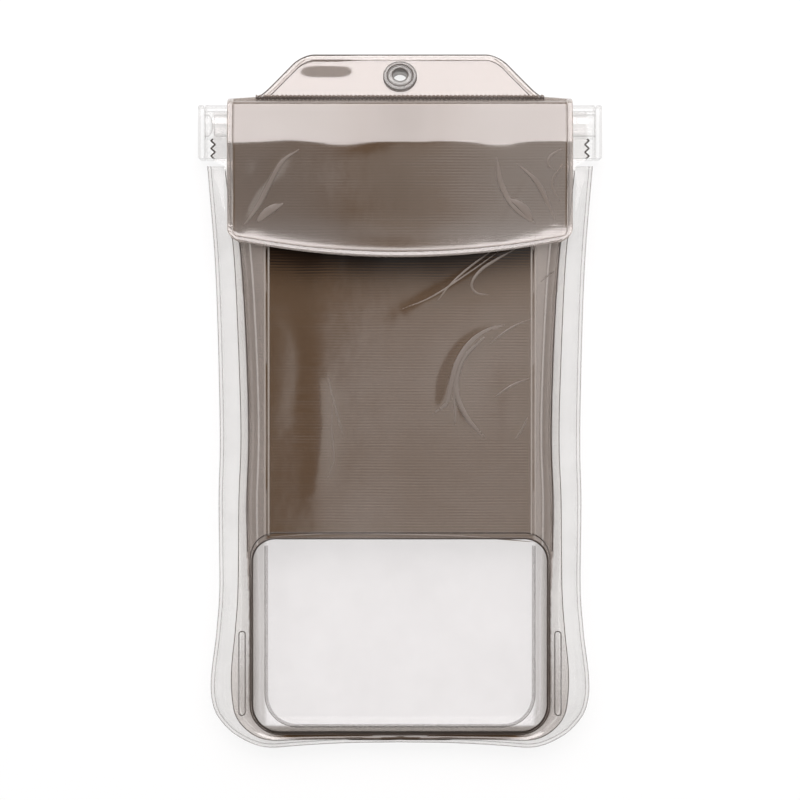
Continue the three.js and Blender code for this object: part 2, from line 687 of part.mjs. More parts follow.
// Rear sheet: the tab's rear layer, then behind the clamp to its weld on the back panel.
function tabSheet() {
  const bottom = clampMid - CLAMP_DEPTH / 2;
  const turn = steps(0, 90, 3).map((degrees) => {
    const angle = THREE.MathUtils.degToRad(degrees);
    const radius = CLAMP_CORNER + GAP;
    return [
      clampTop - CLAMP_CORNER + radius * Math.cos(angle),
      bottom + CLAMP_CORNER - radius * Math.sin(angle),
    ];
  });
  const weldY = mix(POCKET_TOP, ANCHOR_BOTTOM, ANCHOR_START);
  const weldHalfWidth = mix(ANCHOR_HALF_WIDTH, FLAP_HALF_WIDTH, ANCHOR_SPREAD);
  const underPanel = (y) => midPlane(y) - POCKET_HALF_DEPTH - FILM - WELD_GAP;
  const seam = onTab(0, -WELD_GAP / 2);
  const fold = [mix(turn[0][0], seam[0], FOLD_SHARE), mix(turn[0][1], seamZ, FOLD_SHARE)];
  const flat = REST_SHARES.map((share) => [mix(CLAMP_BOTTOM, clampTop, share), bottom - GAP]);
  const behind = [fold, ...turn, ...flat];
  return sheetSolid(
    [
      ...tabRows(-WELD_GAP / 2),
      ...behind.map((at) => ({ at, halfWidth: FLAP_HALF_WIDTH, rim: false, beaded: false, bow: 0 })),
      ...steps(weldY, ANCHOR_BOTTOM, 2).map((y, i) => ({
        at: [y, underPanel(y)],
        halfWidth: mix(weldHalfWidth, ANCHOR_HALF_WIDTH, i / 2),
        rim: false,
        beaded: false,
        bow: 0,
      })),
    ],
    -1,
  );
}

// The eyelet's own frame: its axis square to the tab.
const eyeletReach = (TAB_TIP - EYELET_INSET - seamY) / Math.cos(tilt);
const [eyeletY, eyeletZ] = onTab(eyeletReach, 0);
const barrelRadius = EYELET_BORE + EYELET_WALL;
const eyeletTurn = new THREE.Matrix4()
  .makeTranslation(0, eyeletY, eyeletZ)
  .multiply(new THREE.Matrix4().makeRotationX(-tilt));

// A ring turned round the eyelet's axis, from a closed profile of [radius, height].
function ring(profile) {
  const points = [...profile, profile[0]].map(([radius, height]) => new THREE.Vector2(radius, height));
  return solid(
    new THREE.LatheGeometry(points, TURN_STEPS).rotateX(Math.PI / 2).applyMatrix4(eyeletTurn),
  );
}

// Front half: a domed flange with a barrel that goes through both sheets.
function eyeletFront() {
  const base = layer + GAP;
  const end = -(layer + GAP + EYELET_FLANGE);
  return ring([
    [EYELET_BORE, end],
    [barrelRadius, end],
    [barrelRadius, base],
    [EYELET_RADIUS, base],
    [EYELET_RADIUS, base + EYELET_FLANGE * EYELET_EDGE],
    [mix(barrelRadius, EYELET_RADIUS, EYELET_DOME), base + EYELET_FLANGE],
    [barrelRadius, base + EYELET_FLANGE],
    [EYELET_BORE, base + EYELET_FLANGE * EYELET_DOME],
  ]);
}

// Rear half: a washer round the barrel's end.
function eyeletRear() {
  const base = -(layer + GAP);
  return ring([
    [barrelRadius + GAP, base],
    [barrelRadius + GAP, base - EYELET_FLANGE],
    [EYELET_RADIUS - EYELET_FLANGE / 2, base - EYELET_FLANGE],
    [EYELET_RADIUS, base - EYELET_FLANGE * EYELET_EDGE],
    [EYELET_RADIUS, base],
  ]);
}

// The hole for the barrel, as a drill through both sheets.
function eyeletDrill() {
  const geometry = new THREE.CylinderGeometry(
    barrelRadius + GAP,
    barrelRadius + GAP,
    2 * EYELET_RADIUS,
    TURN_STEPS,
  );
  return solid(geometry.rotateX(Math.PI / 2).applyMatrix4(eyeletTurn));
}

// Materials: the smoky tinted film, the clear film, the hard clear plastic and the eyelet's plastic
const tinted = { color: 0x7a695e, roughness: 0.25, metalness: 0, transparent: true, opacity: 0.85 };
const clear = { color: 0xe4e2e1, roughness: 0.2, metalness: 0, transparent: true, opacity: 0.4 };
const hardClear = { color: 0xebe9e7, roughness: 0.1, metalness: 0, transparent: true, opacity: 0.5 };
const eyeletClear = { color: 0xdedcda, roughness: 0.15, metalness: 0, transparent: true, opacity: 0.7 };

const group = new THREE.Group();

function addPiece(name, made, look) {
  const mesh = new THREE.Mesh(geometryOf(made), new THREE.MeshStandardMaterial(look));
  mesh.name = name;
  group.add(mesh);
}

const frontFilm = filmSolid(panelSurface(1, frontProfile), FILM);
const backFilm = filmSolid(panelSurface(-1, backProfile), -FILM);
const drill = eyeletDrill();

addPiece("front_panel", frontFilm.subtract(windowPrism(0)), tinted);
addPiece("camera_window", frontFilm.intersect(windowPrism(GAP)), clear);
addPiece("back_panel", backFilm, clear);
addPiece("bladder_front_skin", bladderSkin(1), clear);
addPiece("bladder_rear_skin", bladderSkin(-1), clear);
addPiece("flap_sheet", flapSheet().subtract(drill), tinted);
addPiece("tab_sheet", tabSheet().subtract(drill), tinted);
addPiece("eyelet_front", eyeletFront(), eyeletClear);
addPiece("eyelet_rear", eyeletRear(), eyeletClear);
addPiece("sealing_rod", sealingRod(), hardClear);
addPiece("clamp_channel", clampChannel(), hardClear);
addPiece("channel_end_cap", channelEndCap(), hardClear);

// The origin is under the middle of the pouch, on the floor.
const box = new THREE.Box3().setFromObject(group);
const middle = box.getCenter(new THREE.Vector3());
group.position.set(-middle.x, -middle.y, -box.min.z);

export default group;
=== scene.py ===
import json
import logging
import math
from dataclasses import dataclass
from enum import Enum
from typing import Callable, Optional, Sequence

import bpy
import numpy as np
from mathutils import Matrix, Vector

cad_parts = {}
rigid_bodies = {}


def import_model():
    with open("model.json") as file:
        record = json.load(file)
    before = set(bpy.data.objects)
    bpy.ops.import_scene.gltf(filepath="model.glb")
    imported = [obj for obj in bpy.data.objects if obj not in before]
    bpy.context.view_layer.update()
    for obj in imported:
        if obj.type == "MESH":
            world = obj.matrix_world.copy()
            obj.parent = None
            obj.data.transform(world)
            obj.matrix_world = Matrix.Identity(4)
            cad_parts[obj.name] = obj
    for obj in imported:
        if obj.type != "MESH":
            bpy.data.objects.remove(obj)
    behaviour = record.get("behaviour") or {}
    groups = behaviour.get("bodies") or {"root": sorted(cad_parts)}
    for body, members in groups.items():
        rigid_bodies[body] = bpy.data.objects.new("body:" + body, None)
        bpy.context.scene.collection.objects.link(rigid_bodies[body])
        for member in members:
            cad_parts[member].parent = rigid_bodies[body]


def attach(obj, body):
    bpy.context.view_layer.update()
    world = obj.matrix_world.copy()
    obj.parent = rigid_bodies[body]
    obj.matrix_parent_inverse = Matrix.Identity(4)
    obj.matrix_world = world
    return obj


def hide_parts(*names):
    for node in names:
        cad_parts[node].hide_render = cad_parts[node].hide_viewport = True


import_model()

LOG = logging.getLogger("phone_pouch")
MM = 0.001
ROOT_BODY = "pouch"
CHANNEL_BODY = "channel"
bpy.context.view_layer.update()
SOFT_EDGE_ANGLE = 50.0
TINY = 1e-9

Array = np.ndarray
Colour = tuple[float, float, float]
Curve = tuple[tuple[float, float], ...]
Mesh = tuple[Array, Sequence]


class Slot(Enum):
    """The part's colour slots."""

    TINTED = "tinted_film"
    CLEAR = "clear_film"
    CLAMP = "clamp_plastic"
    EYELET = "eyelet_plastic"


# Small numeric helpers


def mix(a: Array, b: Array, t: Array) -> Array:
    """Returns the value part of the way t from a to b."""
    return a + (b - a) * t


def ease(x: Array, a: float, b: float) -> Array:
    """Returns a soft step from 0 to 1 as x goes from a to b: three t squared less two t cubed."""
    t = np.clip((x - a) / (b - a), 0.0, 1.0)
    return t * t * (3.0 - 2.0 * t)


def bell(x: Array, width: float) -> Array:
    """Returns e to the power of minus the square of x over the width."""
    return np.exp(-((x / width) ** 2))


def turn(count: int) -> Array:
    """Returns so many even angles round a full circle."""
    return np.linspace(0.0, 2 * math.pi, count, endpoint=False)


def through(knots: Sequence[tuple[float, float]]) -> Callable[[Array], Array]:
    """Makes a smooth function through knots, level beyond the first and the last.

    Between two knots it is the cubic whose slope at each knot is that of the line
    joining the knot's two neighbours.

    Args:
        knots: pairs of place and value, in any order.

    Returns:
        A function of an array of places.
    """
    x, y = np.array(sorted(knots), dtype=float).T
    slope = np.gradient(y, x)
    slope[1:-1] = (y[2:] - y[:-2]) / (x[2:] - x[:-2])

    def at(place: Array) -> Array:
        """Works the function out.

        Args:
            place: the places.

        Returns:
            The values there.
        """
        p = np.clip(place, x[0], x[-1])
        i = np.clip(np.searchsorted(x, p, side="right") - 1, 0, len(x) - 2)
        h = x[i + 1] - x[i]
        t = (p - x[i]) / h
        start = y[i] * (1 + 2 * t) * (1 - t) ** 2 + h * slope[i] * t * (1 - t) ** 2
        end = y[i + 1] * (3 - 2 * t) * t**2 - h * slope[i + 1] * t**2 * (1 - t)
        return start + end

    return at


def smooth_path(points: Sequence[tuple[float, ...]], step: float) -> Array:
    """Carries a smooth curve through points, at even steps along the chords.

    Args:
        points: the points, in order.
        step: distance between two samples, in the points' own unit.

    Returns:
        The samples, one row each.
    """
    pts = np.array(points, dtype=float)
    along = np.concatenate([[0.0], np.cumsum(np.linalg.norm(np.diff(pts, axis=0), axis=1))])
    s = np.linspace(0.0, along[-1], max(int(along[-1] / step), 2) + 1)
    return np.stack([through(list(zip(along, pts[:, k])))(s) for k in range(pts.shape[1])], axis=1)


def rounded(corners: Sequence[tuple[float, float, float]], samples: int) -> Array:
    """Makes a rectangle's outline with round corners, counterclockwise from the upper right.

    Args:
        corners: each corner's circle, its middle and radius.
        samples: points to a quarter circle.

    Returns:
        The outline's points.
    """
    quarters = []
    for number, (x, y, radius) in enumerate(corners):
        angle = np.radians(np.linspace(90.0 * number, 90.0 * number + 90.0, samples))
        quarters.append(np.stack([x + radius * np.cos(angle), y + radius * np.sin(angle)], axis=1))
    return np.concatenate(quarters)


# The photograph's scale

PIXELS_PER_MM = 3.46
PHOTO_WIDTH = 800.0
MIDDLE_PIXEL = (400.0, 400.75)
HIGHLIGHT_EDGE_PIXEL = (398.0, 141.0)


def from_photo(px: float, py: float) -> tuple[float, float]:
    """Returns the place in millimetres of a pixel of the 800 by 800 photograph."""
    return (px - MIDDLE_PIXEL[0]) / PIXELS_PER_MM, (MIDDLE_PIXEL[1] - py) / PIXELS_PER_MM


# Meshes


def joined(parts: Sequence[Mesh]) -> Mesh:
    """Joins several lists of points and faces into one.

    Args:
        parts: pairs of points and faces.

    Returns:
        All points, and all faces with their new numbers.
    """
    points, faces, count = [], [], 0
    for part_points, part_faces in parts:
        points.append(part_points)
        faces += [[int(i) + count for i in f] for f in part_faces]
        count += len(part_points)
    return np.concatenate(points), faces


def grid_faces(rows: int, columns: int, wrap: bool = False, close: bool = False) -> Array:
    """Makes the quads of a grid of points, row by row.

    Args:
        rows: how many rows of points.
        columns: how many points in a row.
        wrap: whether the last column joins the first.
        close: whether the last row joins the first, which also turns the quads over.

    Returns:
        Four point numbers to a quad.
    """
    index = np.arange(rows * columns).reshape(rows, columns)
    if wrap:
        index = np.concatenate([index, index[:, :1]], axis=1)
    if close:
        index = np.concatenate([index, index[:1]])
    quads = [index[:-1, :-1], index[:-1, 1:], index[1:, 1:], index[1:, :-1]]
    quads = [quads[k] for k in (0, 3, 2, 1)] if close else quads
    return np.stack(quads, axis=-1).reshape(-1, 4)


def capped(rows: int, columns: int) -> list:
    """Returns the faces of a tube of rings of points, closed at both ends."""
    last = (rows - 1) * columns
    walls = [list(f) for f in grid_faces(rows, columns, wrap=True)]
    return walls + [list(range(columns))[::-1], list(range(last, last + columns))]


def grid_normals(grid: Array) -> Array:
    """Works out the unit normals of a grid of points: the cross product of its two directions.

    Args:
        grid: the points, rows by columns by three.

    Returns:
        One normal for each point.
    """
    normal = np.cross(np.gradient(grid, axis=1), np.gradient(grid, axis=0))
    return normal / np.maximum(np.linalg.norm(normal, axis=-1, keepdims=True), TINY)


def film(grid: Array, thickness: Array, outwards: float) -> Mesh:
    """Gives a surface its thickness: a copy moved square to it, and a wall along the rim.

    Args:
        grid: points of the surface, rows by columns by three.
        thickness: one number, or one for each point.
        outwards: 1 if the copy goes to the side of the grid's normals, else -1.

    Returns:
        The points and the faces of the closed film.
    """
    rows, columns, _ = grid.shape
    moved = grid + outwards * grid_normals(grid) * np.asarray(thickness)[..., None]
    count = rows * columns
    points = np.concatenate([moved.reshape(-1, 3), grid.reshape(-1, 3)])
    quads = grid_faces(rows, columns)
    index = np.arange(count).reshape(rows, columns)
    rim = np.concatenate([index[0, :-1], index[:-1, -1], index[-1, :0:-1], index[:0:-1, 0]])
    after = np.roll(rim, -1)
    wall = np.stack([after, rim, rim + count, after + count], axis=1)
    faces = np.concatenate([quads, quads[:, ::-1] + count, wall])
    return points, faces if outwards > 0 else faces[:, ::-1]


def prism(low: Array, high: Array) -> Mesh:
    """Joins two like rings of points by walls and closes both ends.

    Args:
        low: the first ring.
        high: the second ring.

    Returns:
        The points and the faces.
    """
    ring = np.arange(len(low))
    after = np.roll(ring, -1)
    walls = np.stack([ring, after, after + len(low), ring + len(low)], axis=1).tolist()
    return np.concatenate([low, high]), walls + [ring[::-1].tolist(), (ring + len(low)).tolist()]


def ovals(path: Array, across: Array, up: Array, half_width: Array, height: Array, sides: int) -> Array:
    """Sets an oval on each station of a path.

    A point of the oval at angle a is path + across * half_width * cos a + up * height * sin a.

    Args:
        path: the oval's middle, one row for each station.
        across: unit vectors square to the path, in the film's surface.
        up: unit vectors square to both.
        half_width: half the oval's width, one number or one for each station.
        height: half the oval's height, in the same way.
        sides: points round the oval.

    Returns:
        The points, station by station.
    """
    angle = turn(sides)
    w = np.broadcast_to(half_width, len(path))[:, None, None]
    h = np.broadcast_to(height, len(path))[:, None, None]
    side = across[:, None, :] * w * np.cos(angle)[None, :, None]
    rise = up[:, None, :] * h * np.sin(angle)[None, :, None]
    return (path[:, None, :] + side + rise).reshape(-1, 3)


def bead(path: Array, half_width: Array, height: Array, up: Optional[Array] = None, sides: int = 8) -> Mesh:
    """Carries an oval along a path and closes both ends.

    Args:
        path: the oval's middle, one row for each station.
        half_width: half the oval's width, one number or one for each station.
        height: half the oval's height, in the same way.
        up: the way up at each station; straight up if left out.
        sides: points round the oval.

    Returns:
        The points and the faces.
    """
    ahead = np.gradient(path, axis=0)
    ahead /= np.maximum(np.linalg.norm(ahead, axis=1, keepdims=True), TINY)
    across = np.cross(ahead, np.broadcast_to([0.0, 0.0, 1.0], path.shape) if up is None else up)
    across /= np.maximum(np.linalg.norm(across, axis=1, keepdims=True), TINY)
    points = ovals(path, across, np.cross(across, ahead), half_width, height, sides)
    return points, capped(len(path), sides)


def closed_bead(path: Array, half_width: float, height: float, sides: int = 8) -> Mesh:
    """Carries an oval that stands upright round a closed path.

    Args:
        path: the oval's middle, one row for each station.
        half_width: half the oval's width.
        height: half the oval's height.
        sides: points round the oval.

    Returns:
        The points and the faces.
    """
    up = np.broadcast_to([0.0, 0.0, 1.0], path.shape)
    across = np.cross(np.roll(path, -1, axis=0) - np.roll(path, 1, axis=0), up)
    across /= np.linalg.norm(across, axis=1, keepdims=True)
    points = ovals(path, across, up, half_width, height, sides)
    return points, grid_faces(len(path), sides, wrap=True, close=True)


# Finishes


class Nodes:
    """A material's nodes, made and joined in few words."""

    def __init__(self, name: str) -> None:
        """Starts an empty material.

        Args:
            name: the material's name.
        """
        self.material = bpy.data.materials.new(name)
        self.material.use_nodes = True
        self.tree = self.material.node_tree
        self.tree.nodes.clear()
        self.output = self.tree.nodes.new("ShaderNodeOutputMaterial")

    def add(self, kind: str, **settings: object) -> bpy.types.Node:
        """Makes a node.

        Args:
            kind: the node's type, without its prefix.
            **settings: the node's properties.

        Returns:
            The node.
        """
        node = self.tree.nodes.new("ShaderNode" + kind)
        for key, value in settings.items():
            setattr(node, key, value)
        return node

    def feed(self, node: bpy.types.Node, **inputs: object) -> bpy.types.Node:
        """Sets or joins a node's inputs.

        Args:
            node: the node.
            **inputs: a value or an output for each input, by its name with _ for a space, or
                by i and its number.

        Returns:
            The node.
        """
        for key, value in inputs.items():
            numbered = key[0] == "i" and key[1:].isdigit()
            socket = node.inputs[int(key[1:]) if numbered else key.replace("_", " ")]
            if isinstance(value, bpy.types.NodeSocket):
                self.tree.links.new(value, socket)
            else:
                socket.default_value = value
        return node

    def math(self, operation: str, a: object, b: object = 0.0) -> bpy.types.NodeSocket:
        """Returns the result of a Math node."""
        return self.feed(self.add("Math", operation=operation), i0=a, i1=b).outputs[0]

    def times(self, a: object, b: object) -> bpy.types.NodeSocket:
        """Returns the product."""
        return self.math("MULTIPLY", a, b)

    def plus(self, a: object, b: object) -> bpy.types.NodeSocket:
        """Returns the sum."""
        return self.math("ADD", a, b)

    def clamp(self, a: object, low: float, high: float = 1.0) -> bpy.types.NodeSocket:
        """Returns a value kept between two others."""
        return self.math("MINIMUM", self.math("MAXIMUM", a, low), high)

    def place(self) -> bpy.types.NodeSocket:
        """Returns the Object coordinates."""
        return self.add("TexCoord").outputs["Object"]

    def tint(self) -> bpy.types.NodeSocket:
        """Returns the mesh's painted tint."""
        return self.add("Attribute", attribute_name="tint").outputs["Fac"]

    def noise(self, scale: float, detail: float = 3.0, stretch: Colour = (1, 1, 1)) -> bpy.types.NodeSocket:
        """Makes a noise of the Object coordinates.

        Args:
            scale: cells to the metre.
            detail: how many finer noises are laid over it.
            stretch: a factor of the scale along each axis.

        Returns:
            The noise, from 0 to 1.
        """
        mapping = self.feed(self.add("Mapping"), Vector=self.place(), Scale=stretch)
        node = self.add("TexNoise")
        return self.feed(node, Vector=mapping.outputs[0], Scale=scale, Detail=detail).outputs[0]

    def bump(self, height: object, depth: float, over: Optional[object] = None) -> bpy.types.NodeSocket:
        """Makes a bumped normal.

        Args:
            height: the relief.
            depth: how deep it is, in metres.
            over: the normal under it.

        Returns:
            The normal.
        """
        node = self.feed(self.add("Bump"), Strength=1.0, Distance=depth, Height=height)
        return (self.feed(node, Normal=over) if over else node).outputs[0]

    def blend(self, share: object, a: object, b: object) -> bpy.types.NodeSocket:
        """Returns the colour part of the way from a to b, each a colour or an output."""
        a, b = (c if isinstance(c, bpy.types.NodeSocket) else (*c, 1.0) for c in (a, b))
        return self.feed(self.add("MixRGB"), Fac=share, Color1=a, Color2=b).outputs[0]

    def film(
        self,
        passed: object,
        haze: object,
        cover: object,
        rough: object,
        index: float,
        normal: bpy.types.NodeSocket,
        gloss: object = 1.0,
    ) -> bpy.types.Material:
        """Makes one face of a see-through film and finishes the material.

        The share that it mirrors is the same from both sides: square on, the square of the
        index less one over the index plus one, and at a slant more by the fifth power of
        one less the cosine.

        Args:
            passed: colour of the light that passes.
            haze: colour of the light that it scatters.
            cover: share of the light that it scatters in place of passing it.
            rough: roughness of its mirror.
            index: index of refraction, which sets how much it mirrors.
            normal: the bumped normal.
            gloss: share of that mirror that the face has.

        Returns:
            The material.
        """
        clear = self.feed(self.add("BsdfTransparent"), Color=self.blend(0.0, passed, passed))
        milk = self.feed(self.add("BsdfDiffuse"), Color=self.blend(0.0, haze, haze), Normal=normal)
        body = self.feed(self.add("MixShader"), Fac=cover, i1=clear.outputs[0], i2=milk.outputs[0])
        white = (1.0, 1.0, 1.0, 1.0)
        shine = self.feed(self.add("BsdfGlossy"), Roughness=rough, Color=white, Normal=normal)
        square_on = ((index - 1.0) / (index + 1.0)) ** 2
        facing = self.feed(self.add("LayerWeight"), Blend=0.5, Normal=normal).outputs["Facing"]
        rise = self.times(self.math("POWER", facing, 5.0), 1.0 - square_on)
        mirror = self.times(self.plus(rise, square_on), gloss)
        both = self.feed(self.add("MixShader"), Fac=mirror, i1=body.outputs[0], i2=shine.outputs[0])
        return self.finish(both.outputs[0])

    def finish(self, shader: bpy.types.NodeSocket) -> bpy.types.Material:
        """Joins the shader to the output and returns the material."""
        self.tree.links.new(shader, self.output.inputs["Surface"])
        return self.material


@dataclass(frozen=True)
class TintedFilm:
    """Smoky brown see-through film with fine ribs across it.

    Each face passes a share of the light, tinted brown, scatters the rest in a brown haze
    and mirrors what is in front of it. The ribs are a sine of the height on the pouch,
    shifted and broken up by stretched noises. Where the mesh has a tint attribute, it sets
    how dense the brown is, from clear at 0 to full at 1 and on to nearly black, which is also
    duller. Past full, the nearly black haze and the duller mirror are how painted shade is
    made, such as the painted shadow under the flap. Above smooth_above, in metres up the
    pouch, the ribs are nearly gone.
    """

    name: str = "smoky_film"
    passed: Colour = (0.46, 0.36, 0.29)
    passed_clear: Colour = (0.992, 0.989, 0.986)
    haze: Colour = (0.082, 0.046, 0.021)
    pale: Colour = (0.50, 0.485, 0.475)
    # nearly black haze past full density, which paints shade such as the flap's painted shadow
    deep_and_shadow: Colour = (0.012, 0.006, 0.003)
    cover: float = 0.76
    least_cover: float = 0.015
    least_density: float = 0.83
    clouds: float = 0.24
    gloss: float = 0.11
    index: float = 1.95
    rib_pitch: float = 0.83 * MM
    rib_depth: float = 0.0008 * MM
    rib_shade: float = 0.05
    rib_wander: float = 4.0
    rib_fade: float = 700.0
    faintest_rib: float = 0.12
    wave_depth: float = 0.03 * MM
    # density past which the mirror dulls as painted shade
    shade_dulling_from: float = 1.04
    tinted: bool = False
    smooth_above: float = 1.0

    def build(self) -> bpy.types.Material:
        """Builds the material.

        Returns:
            The material.
        """
        n = Nodes(self.name)
        y = n.feed(n.add("SeparateXYZ"), Vector=n.place()).outputs["Y"]
        wander = n.times(n.noise(60.0, 2.0, (1.0, 2.0, 1.0)), self.rib_wander)
        phase = n.plus(n.times(y, 2 * math.pi / self.rib_pitch), wander)
        breaks = n.clamp(n.times(n.math("SUBTRACT", n.noise(500.0, 2.0, (0.15, 1.0, 1.0)), 0.28), 2.2), 0.0)
        below = n.times(n.math("SUBTRACT", self.smooth_above, y), self.rib_fade)
        rib = n.times(n.math("SINE", phase), n.times(breaks, n.clamp(below, self.faintest_rib)))
        normal = n.bump(n.noise(150.0, 2.0, (1.0, 0.6, 1.0)), self.wave_depth, n.bump(rib, self.rib_depth))
        cloudy = n.noise(30.0, 4.0)
        even = n.plus(n.times(cloudy, self.clouds), self.least_density)
        density = n.plus(n.times(rib, self.rib_shade * 2.0), even)
        if self.tinted:
            tint = n.tint()
            density, even = n.times(density, tint), n.times(even, tint)
        # Past full density the haze turns nearly black: painted shade, such as the flap's painted shadow.
        deeper = n.math("MAXIMUM", n.math("SUBTRACT", density, 1.0), 0.0)
        haze = n.blend(n.times(deeper, 2.0), n.blend(density, self.pale, self.haze), self.deep_and_shadow)
        mirror = n.math("MINIMUM", n.plus(n.times(even, 1.2), 0.3), 1.0)
        # The mirror dulls where the film is densest: painted shade, as a film in shadow mirrors less.
        shade_dulling = n.times(n.math("MAXIMUM", n.math("SUBTRACT", even, self.shade_dulling_from), 0.0), 1.8)
        mirror = n.times(mirror, n.math("SUBTRACT", 1.0, n.math("MINIMUM", shade_dulling, 0.9)))
        passed = n.blend(density, self.passed_clear, self.passed)
        cover = n.plus(n.times(density, self.cover - self.least_cover), self.least_cover)
        rough = n.plus(n.times(cloudy, 0.06), self.gloss - 0.03)
        return n.film(passed, haze, cover, rough, self.index, normal, mirror)


@dataclass(frozen=True)
class ClearFilm:
    """Clear soft film or plastic: nearly all light passes square to it, and less at a slant.

    It has a faint haze, clouded by a noise, and mirrors more towards its edges. Where it has
    a shade, the mesh's tint attribute says how much of it shows.
    """

    name: str = "bladder_film"
    passed: Colour = (0.982, 0.979, 0.977)
    edge: Colour = (0.95, 0.946, 0.943)
    edge_power: float = 1.9
    edge_gain: float = 1.0
    haze: Colour = (0.44, 0.434, 0.43)
    cover: float = 0.05
    gloss: float = 0.08
    index: float = 1.24
    ripple: float = 0.05 * MM
    ripple_scale: float = 130.0
    speckle: float = 0.0
    speckle_scale: float = 1500.0
    speckle_from: float = 0.56
    shade: Optional[Colour] = None

    def build(self) -> bpy.types.Material:
        """Builds the material.

        Returns:
            The material.
        """
        n = Nodes(self.name)
        normal = n.bump(n.noise(self.ripple_scale, 2.0, (1.0, 0.3, 1.0)), self.ripple)
        facing = n.feed(n.add("LayerWeight"), Blend=0.5, Normal=normal).outputs["Facing"]
        slant = n.math("MINIMUM", n.times(n.math("POWER", facing, self.edge_power), self.edge_gain), 1.0)
        passed = n.blend(slant, self.passed, self.edge)
        if self.shade:
            passed = n.blend(n.tint(), passed, self.shade)
        cloud = n.times(n.noise(70.0, 3.0), 2.0 * self.cover)
        if self.speckle:
            grains = n.math("GREATER_THAN", n.noise(self.speckle_scale, 3.0), self.speckle_from)
            cloud = n.plus(cloud, n.times(grains, self.speckle))
        return n.film(passed, self.haze, cloud, self.gloss, self.index, normal)


class Finish(Enum):
    """The pouch's finishes."""

    PANEL = TintedFilm(name="panel_film", tinted=True, rib_shade=0.045)
    FLAP = TintedFilm(
        name="flap_film", tinted=True, rib_shade=0.05, smooth_above=from_photo(*HIGHLIGHT_EDGE_PIXEL)[1] * MM
    )
    WELD = TintedFilm(
        name="weld_line",
        cover=0.95,
        haze=(0.045, 0.034, 0.028),
        passed=(0.2, 0.15, 0.11),
        index=1.2,
        rib_shade=0.0,
    )
    PEARL = TintedFilm(
        name="seam_pearls",
        cover=0.92,
        haze=(0.15, 0.118, 0.10),
        passed=(0.4, 0.34, 0.3),
        index=1.35,
        rib_shade=0.0,
    )
    # Paler than the film: painted highlights along the creases.
    CREASE = TintedFilm(
        name="crease_painted_highlight", tinted=True, gloss=0.36, index=1.5, haze=(0.15, 0.112, 0.086), rib_shade=0.03
    )
    # Pale raised lines: painted highlights on the pocket's folds and the flap's rim.
    RIDGE = TintedFilm(name="ridge_painted_highlight", cover=0.55, haze=(0.42, 0.37, 0.33), passed=(0.8, 0.75, 0.7))
    CLEAR = ClearFilm()
    BACK = ClearFilm(name="back_film", passed=(0.975, 0.97, 0.97), cover=0.03)
    WINDOW = ClearFilm(
        name="window_film",
        passed=(0.972, 0.966, 0.967),
        edge=(0.86, 0.84, 0.82),
        edge_power=2.4,
        cover=0.03,
        shade=(0.42, 0.385, 0.355),
    )
    FOLD = ClearFilm(
        name="fold_edge",
        cover=0.3,
        haze=(0.25, 0.235, 0.22),
        passed=(0.6, 0.58, 0.56),
        edge=(0.15, 0.14, 0.13),
        edge_power=1.2,
    )
    SEAM = ClearFilm(
        name="clear_weld", cover=0.18, passed=(0.86, 0.855, 0.85), edge=(0.35, 0.34, 0.33), edge_power=1.4
    )
    CLAMP = ClearFilm(
        name="clear_plastic",
        passed=(1.0, 0.999, 0.998),
        edge=(0.42, 0.41, 0.4),
        edge_power=3.6,
        cover=0.004,
        gloss=0.04,
        ripple=0.012 * MM,
        ripple_scale=220.0,
        speckle=0.02,
    )
    EYELET = ClearFilm(
        name="eyelet_finish",
        passed=(0.78, 0.77, 0.76),
        edge=(0.22, 0.21, 0.20),
        edge_power=1.3,
        edge_gain=1.3,
        haze=(0.50, 0.49, 0.48),
        cover=0.25,
        index=1.42,
        gloss=0.06,
        ripple=0.01 * MM,
    )

    @property
    def material(self) -> bpy.types.Material:
        """Returns the finish's material, made once."""
        return bpy.data.materials.get(self.value.name) or self.value.build()


# Pieces


def paint(mesh: bpy.types.Mesh, tint: Array) -> None:
    """Stores a tint at each of a mesh's points."""
    layer = mesh.attributes.new("tint", "FLOAT", "POINT")
    layer.data.foreach_set("value", np.asarray(tint, dtype=float).ravel())


def smooth(mesh: bpy.types.Mesh, sharp: float) -> None:
    """Smooths a mesh.

    Args:
        mesh: the mesh.
        sharp: the angle in degrees above which an edge stays sharp.
    """
    mesh.polygons.foreach_set("use_smooth", np.ones(len(mesh.polygons), dtype=bool))
    if sharp < 180.0:
        mesh.set_sharp_from_angle(angle=math.radians(sharp))


def object_from(
    name: str,
    shape: Mesh,
    finish: Finish,
    body: str = ROOT_BODY,
    sharp: float = 180.0,
    tint: Optional[Array] = None,
) -> bpy.types.Object:
    """Makes an object at the origin from points in millimetres.

    Args:
        name: the piece's name.
        shape: the points, one row each, and each face's points, counterclockwise from outside.
        finish: the piece's finish.
        body: the CAD body that it rides on.
        sharp: the angle in degrees above which an edge stays sharp.
        tint: how dense the film's brown is at each point, if that varies.

    Returns:
        The new object.
    """
    points, faces = shape
    mesh = bpy.data.meshes.new(name)
    mesh.from_pydata((np.asarray(points) * MM).tolist(), [], [list(map(int, f)) for f in faces])
    mesh.materials.append(finish.material)
    smooth(mesh, sharp)
    mesh.update()
    mesh.validate()
    if tint is not None:
        paint(mesh, tint)
    obj = bpy.data.objects.new(name, mesh)
    bpy.context.scene.collection.objects.link(obj)
    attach(obj, body)
    return obj


def dress(obj: bpy.types.Object, node: Optional[str] = None) -> bpy.types.Object:
    """Hides the CAD node that a piece stands for, if it stands for one.

    Args:
        obj: the piece.
        node: the node's name, if it stands for one.

    Returns:
        The piece.
    """
    if node:
        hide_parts(node)
    return obj


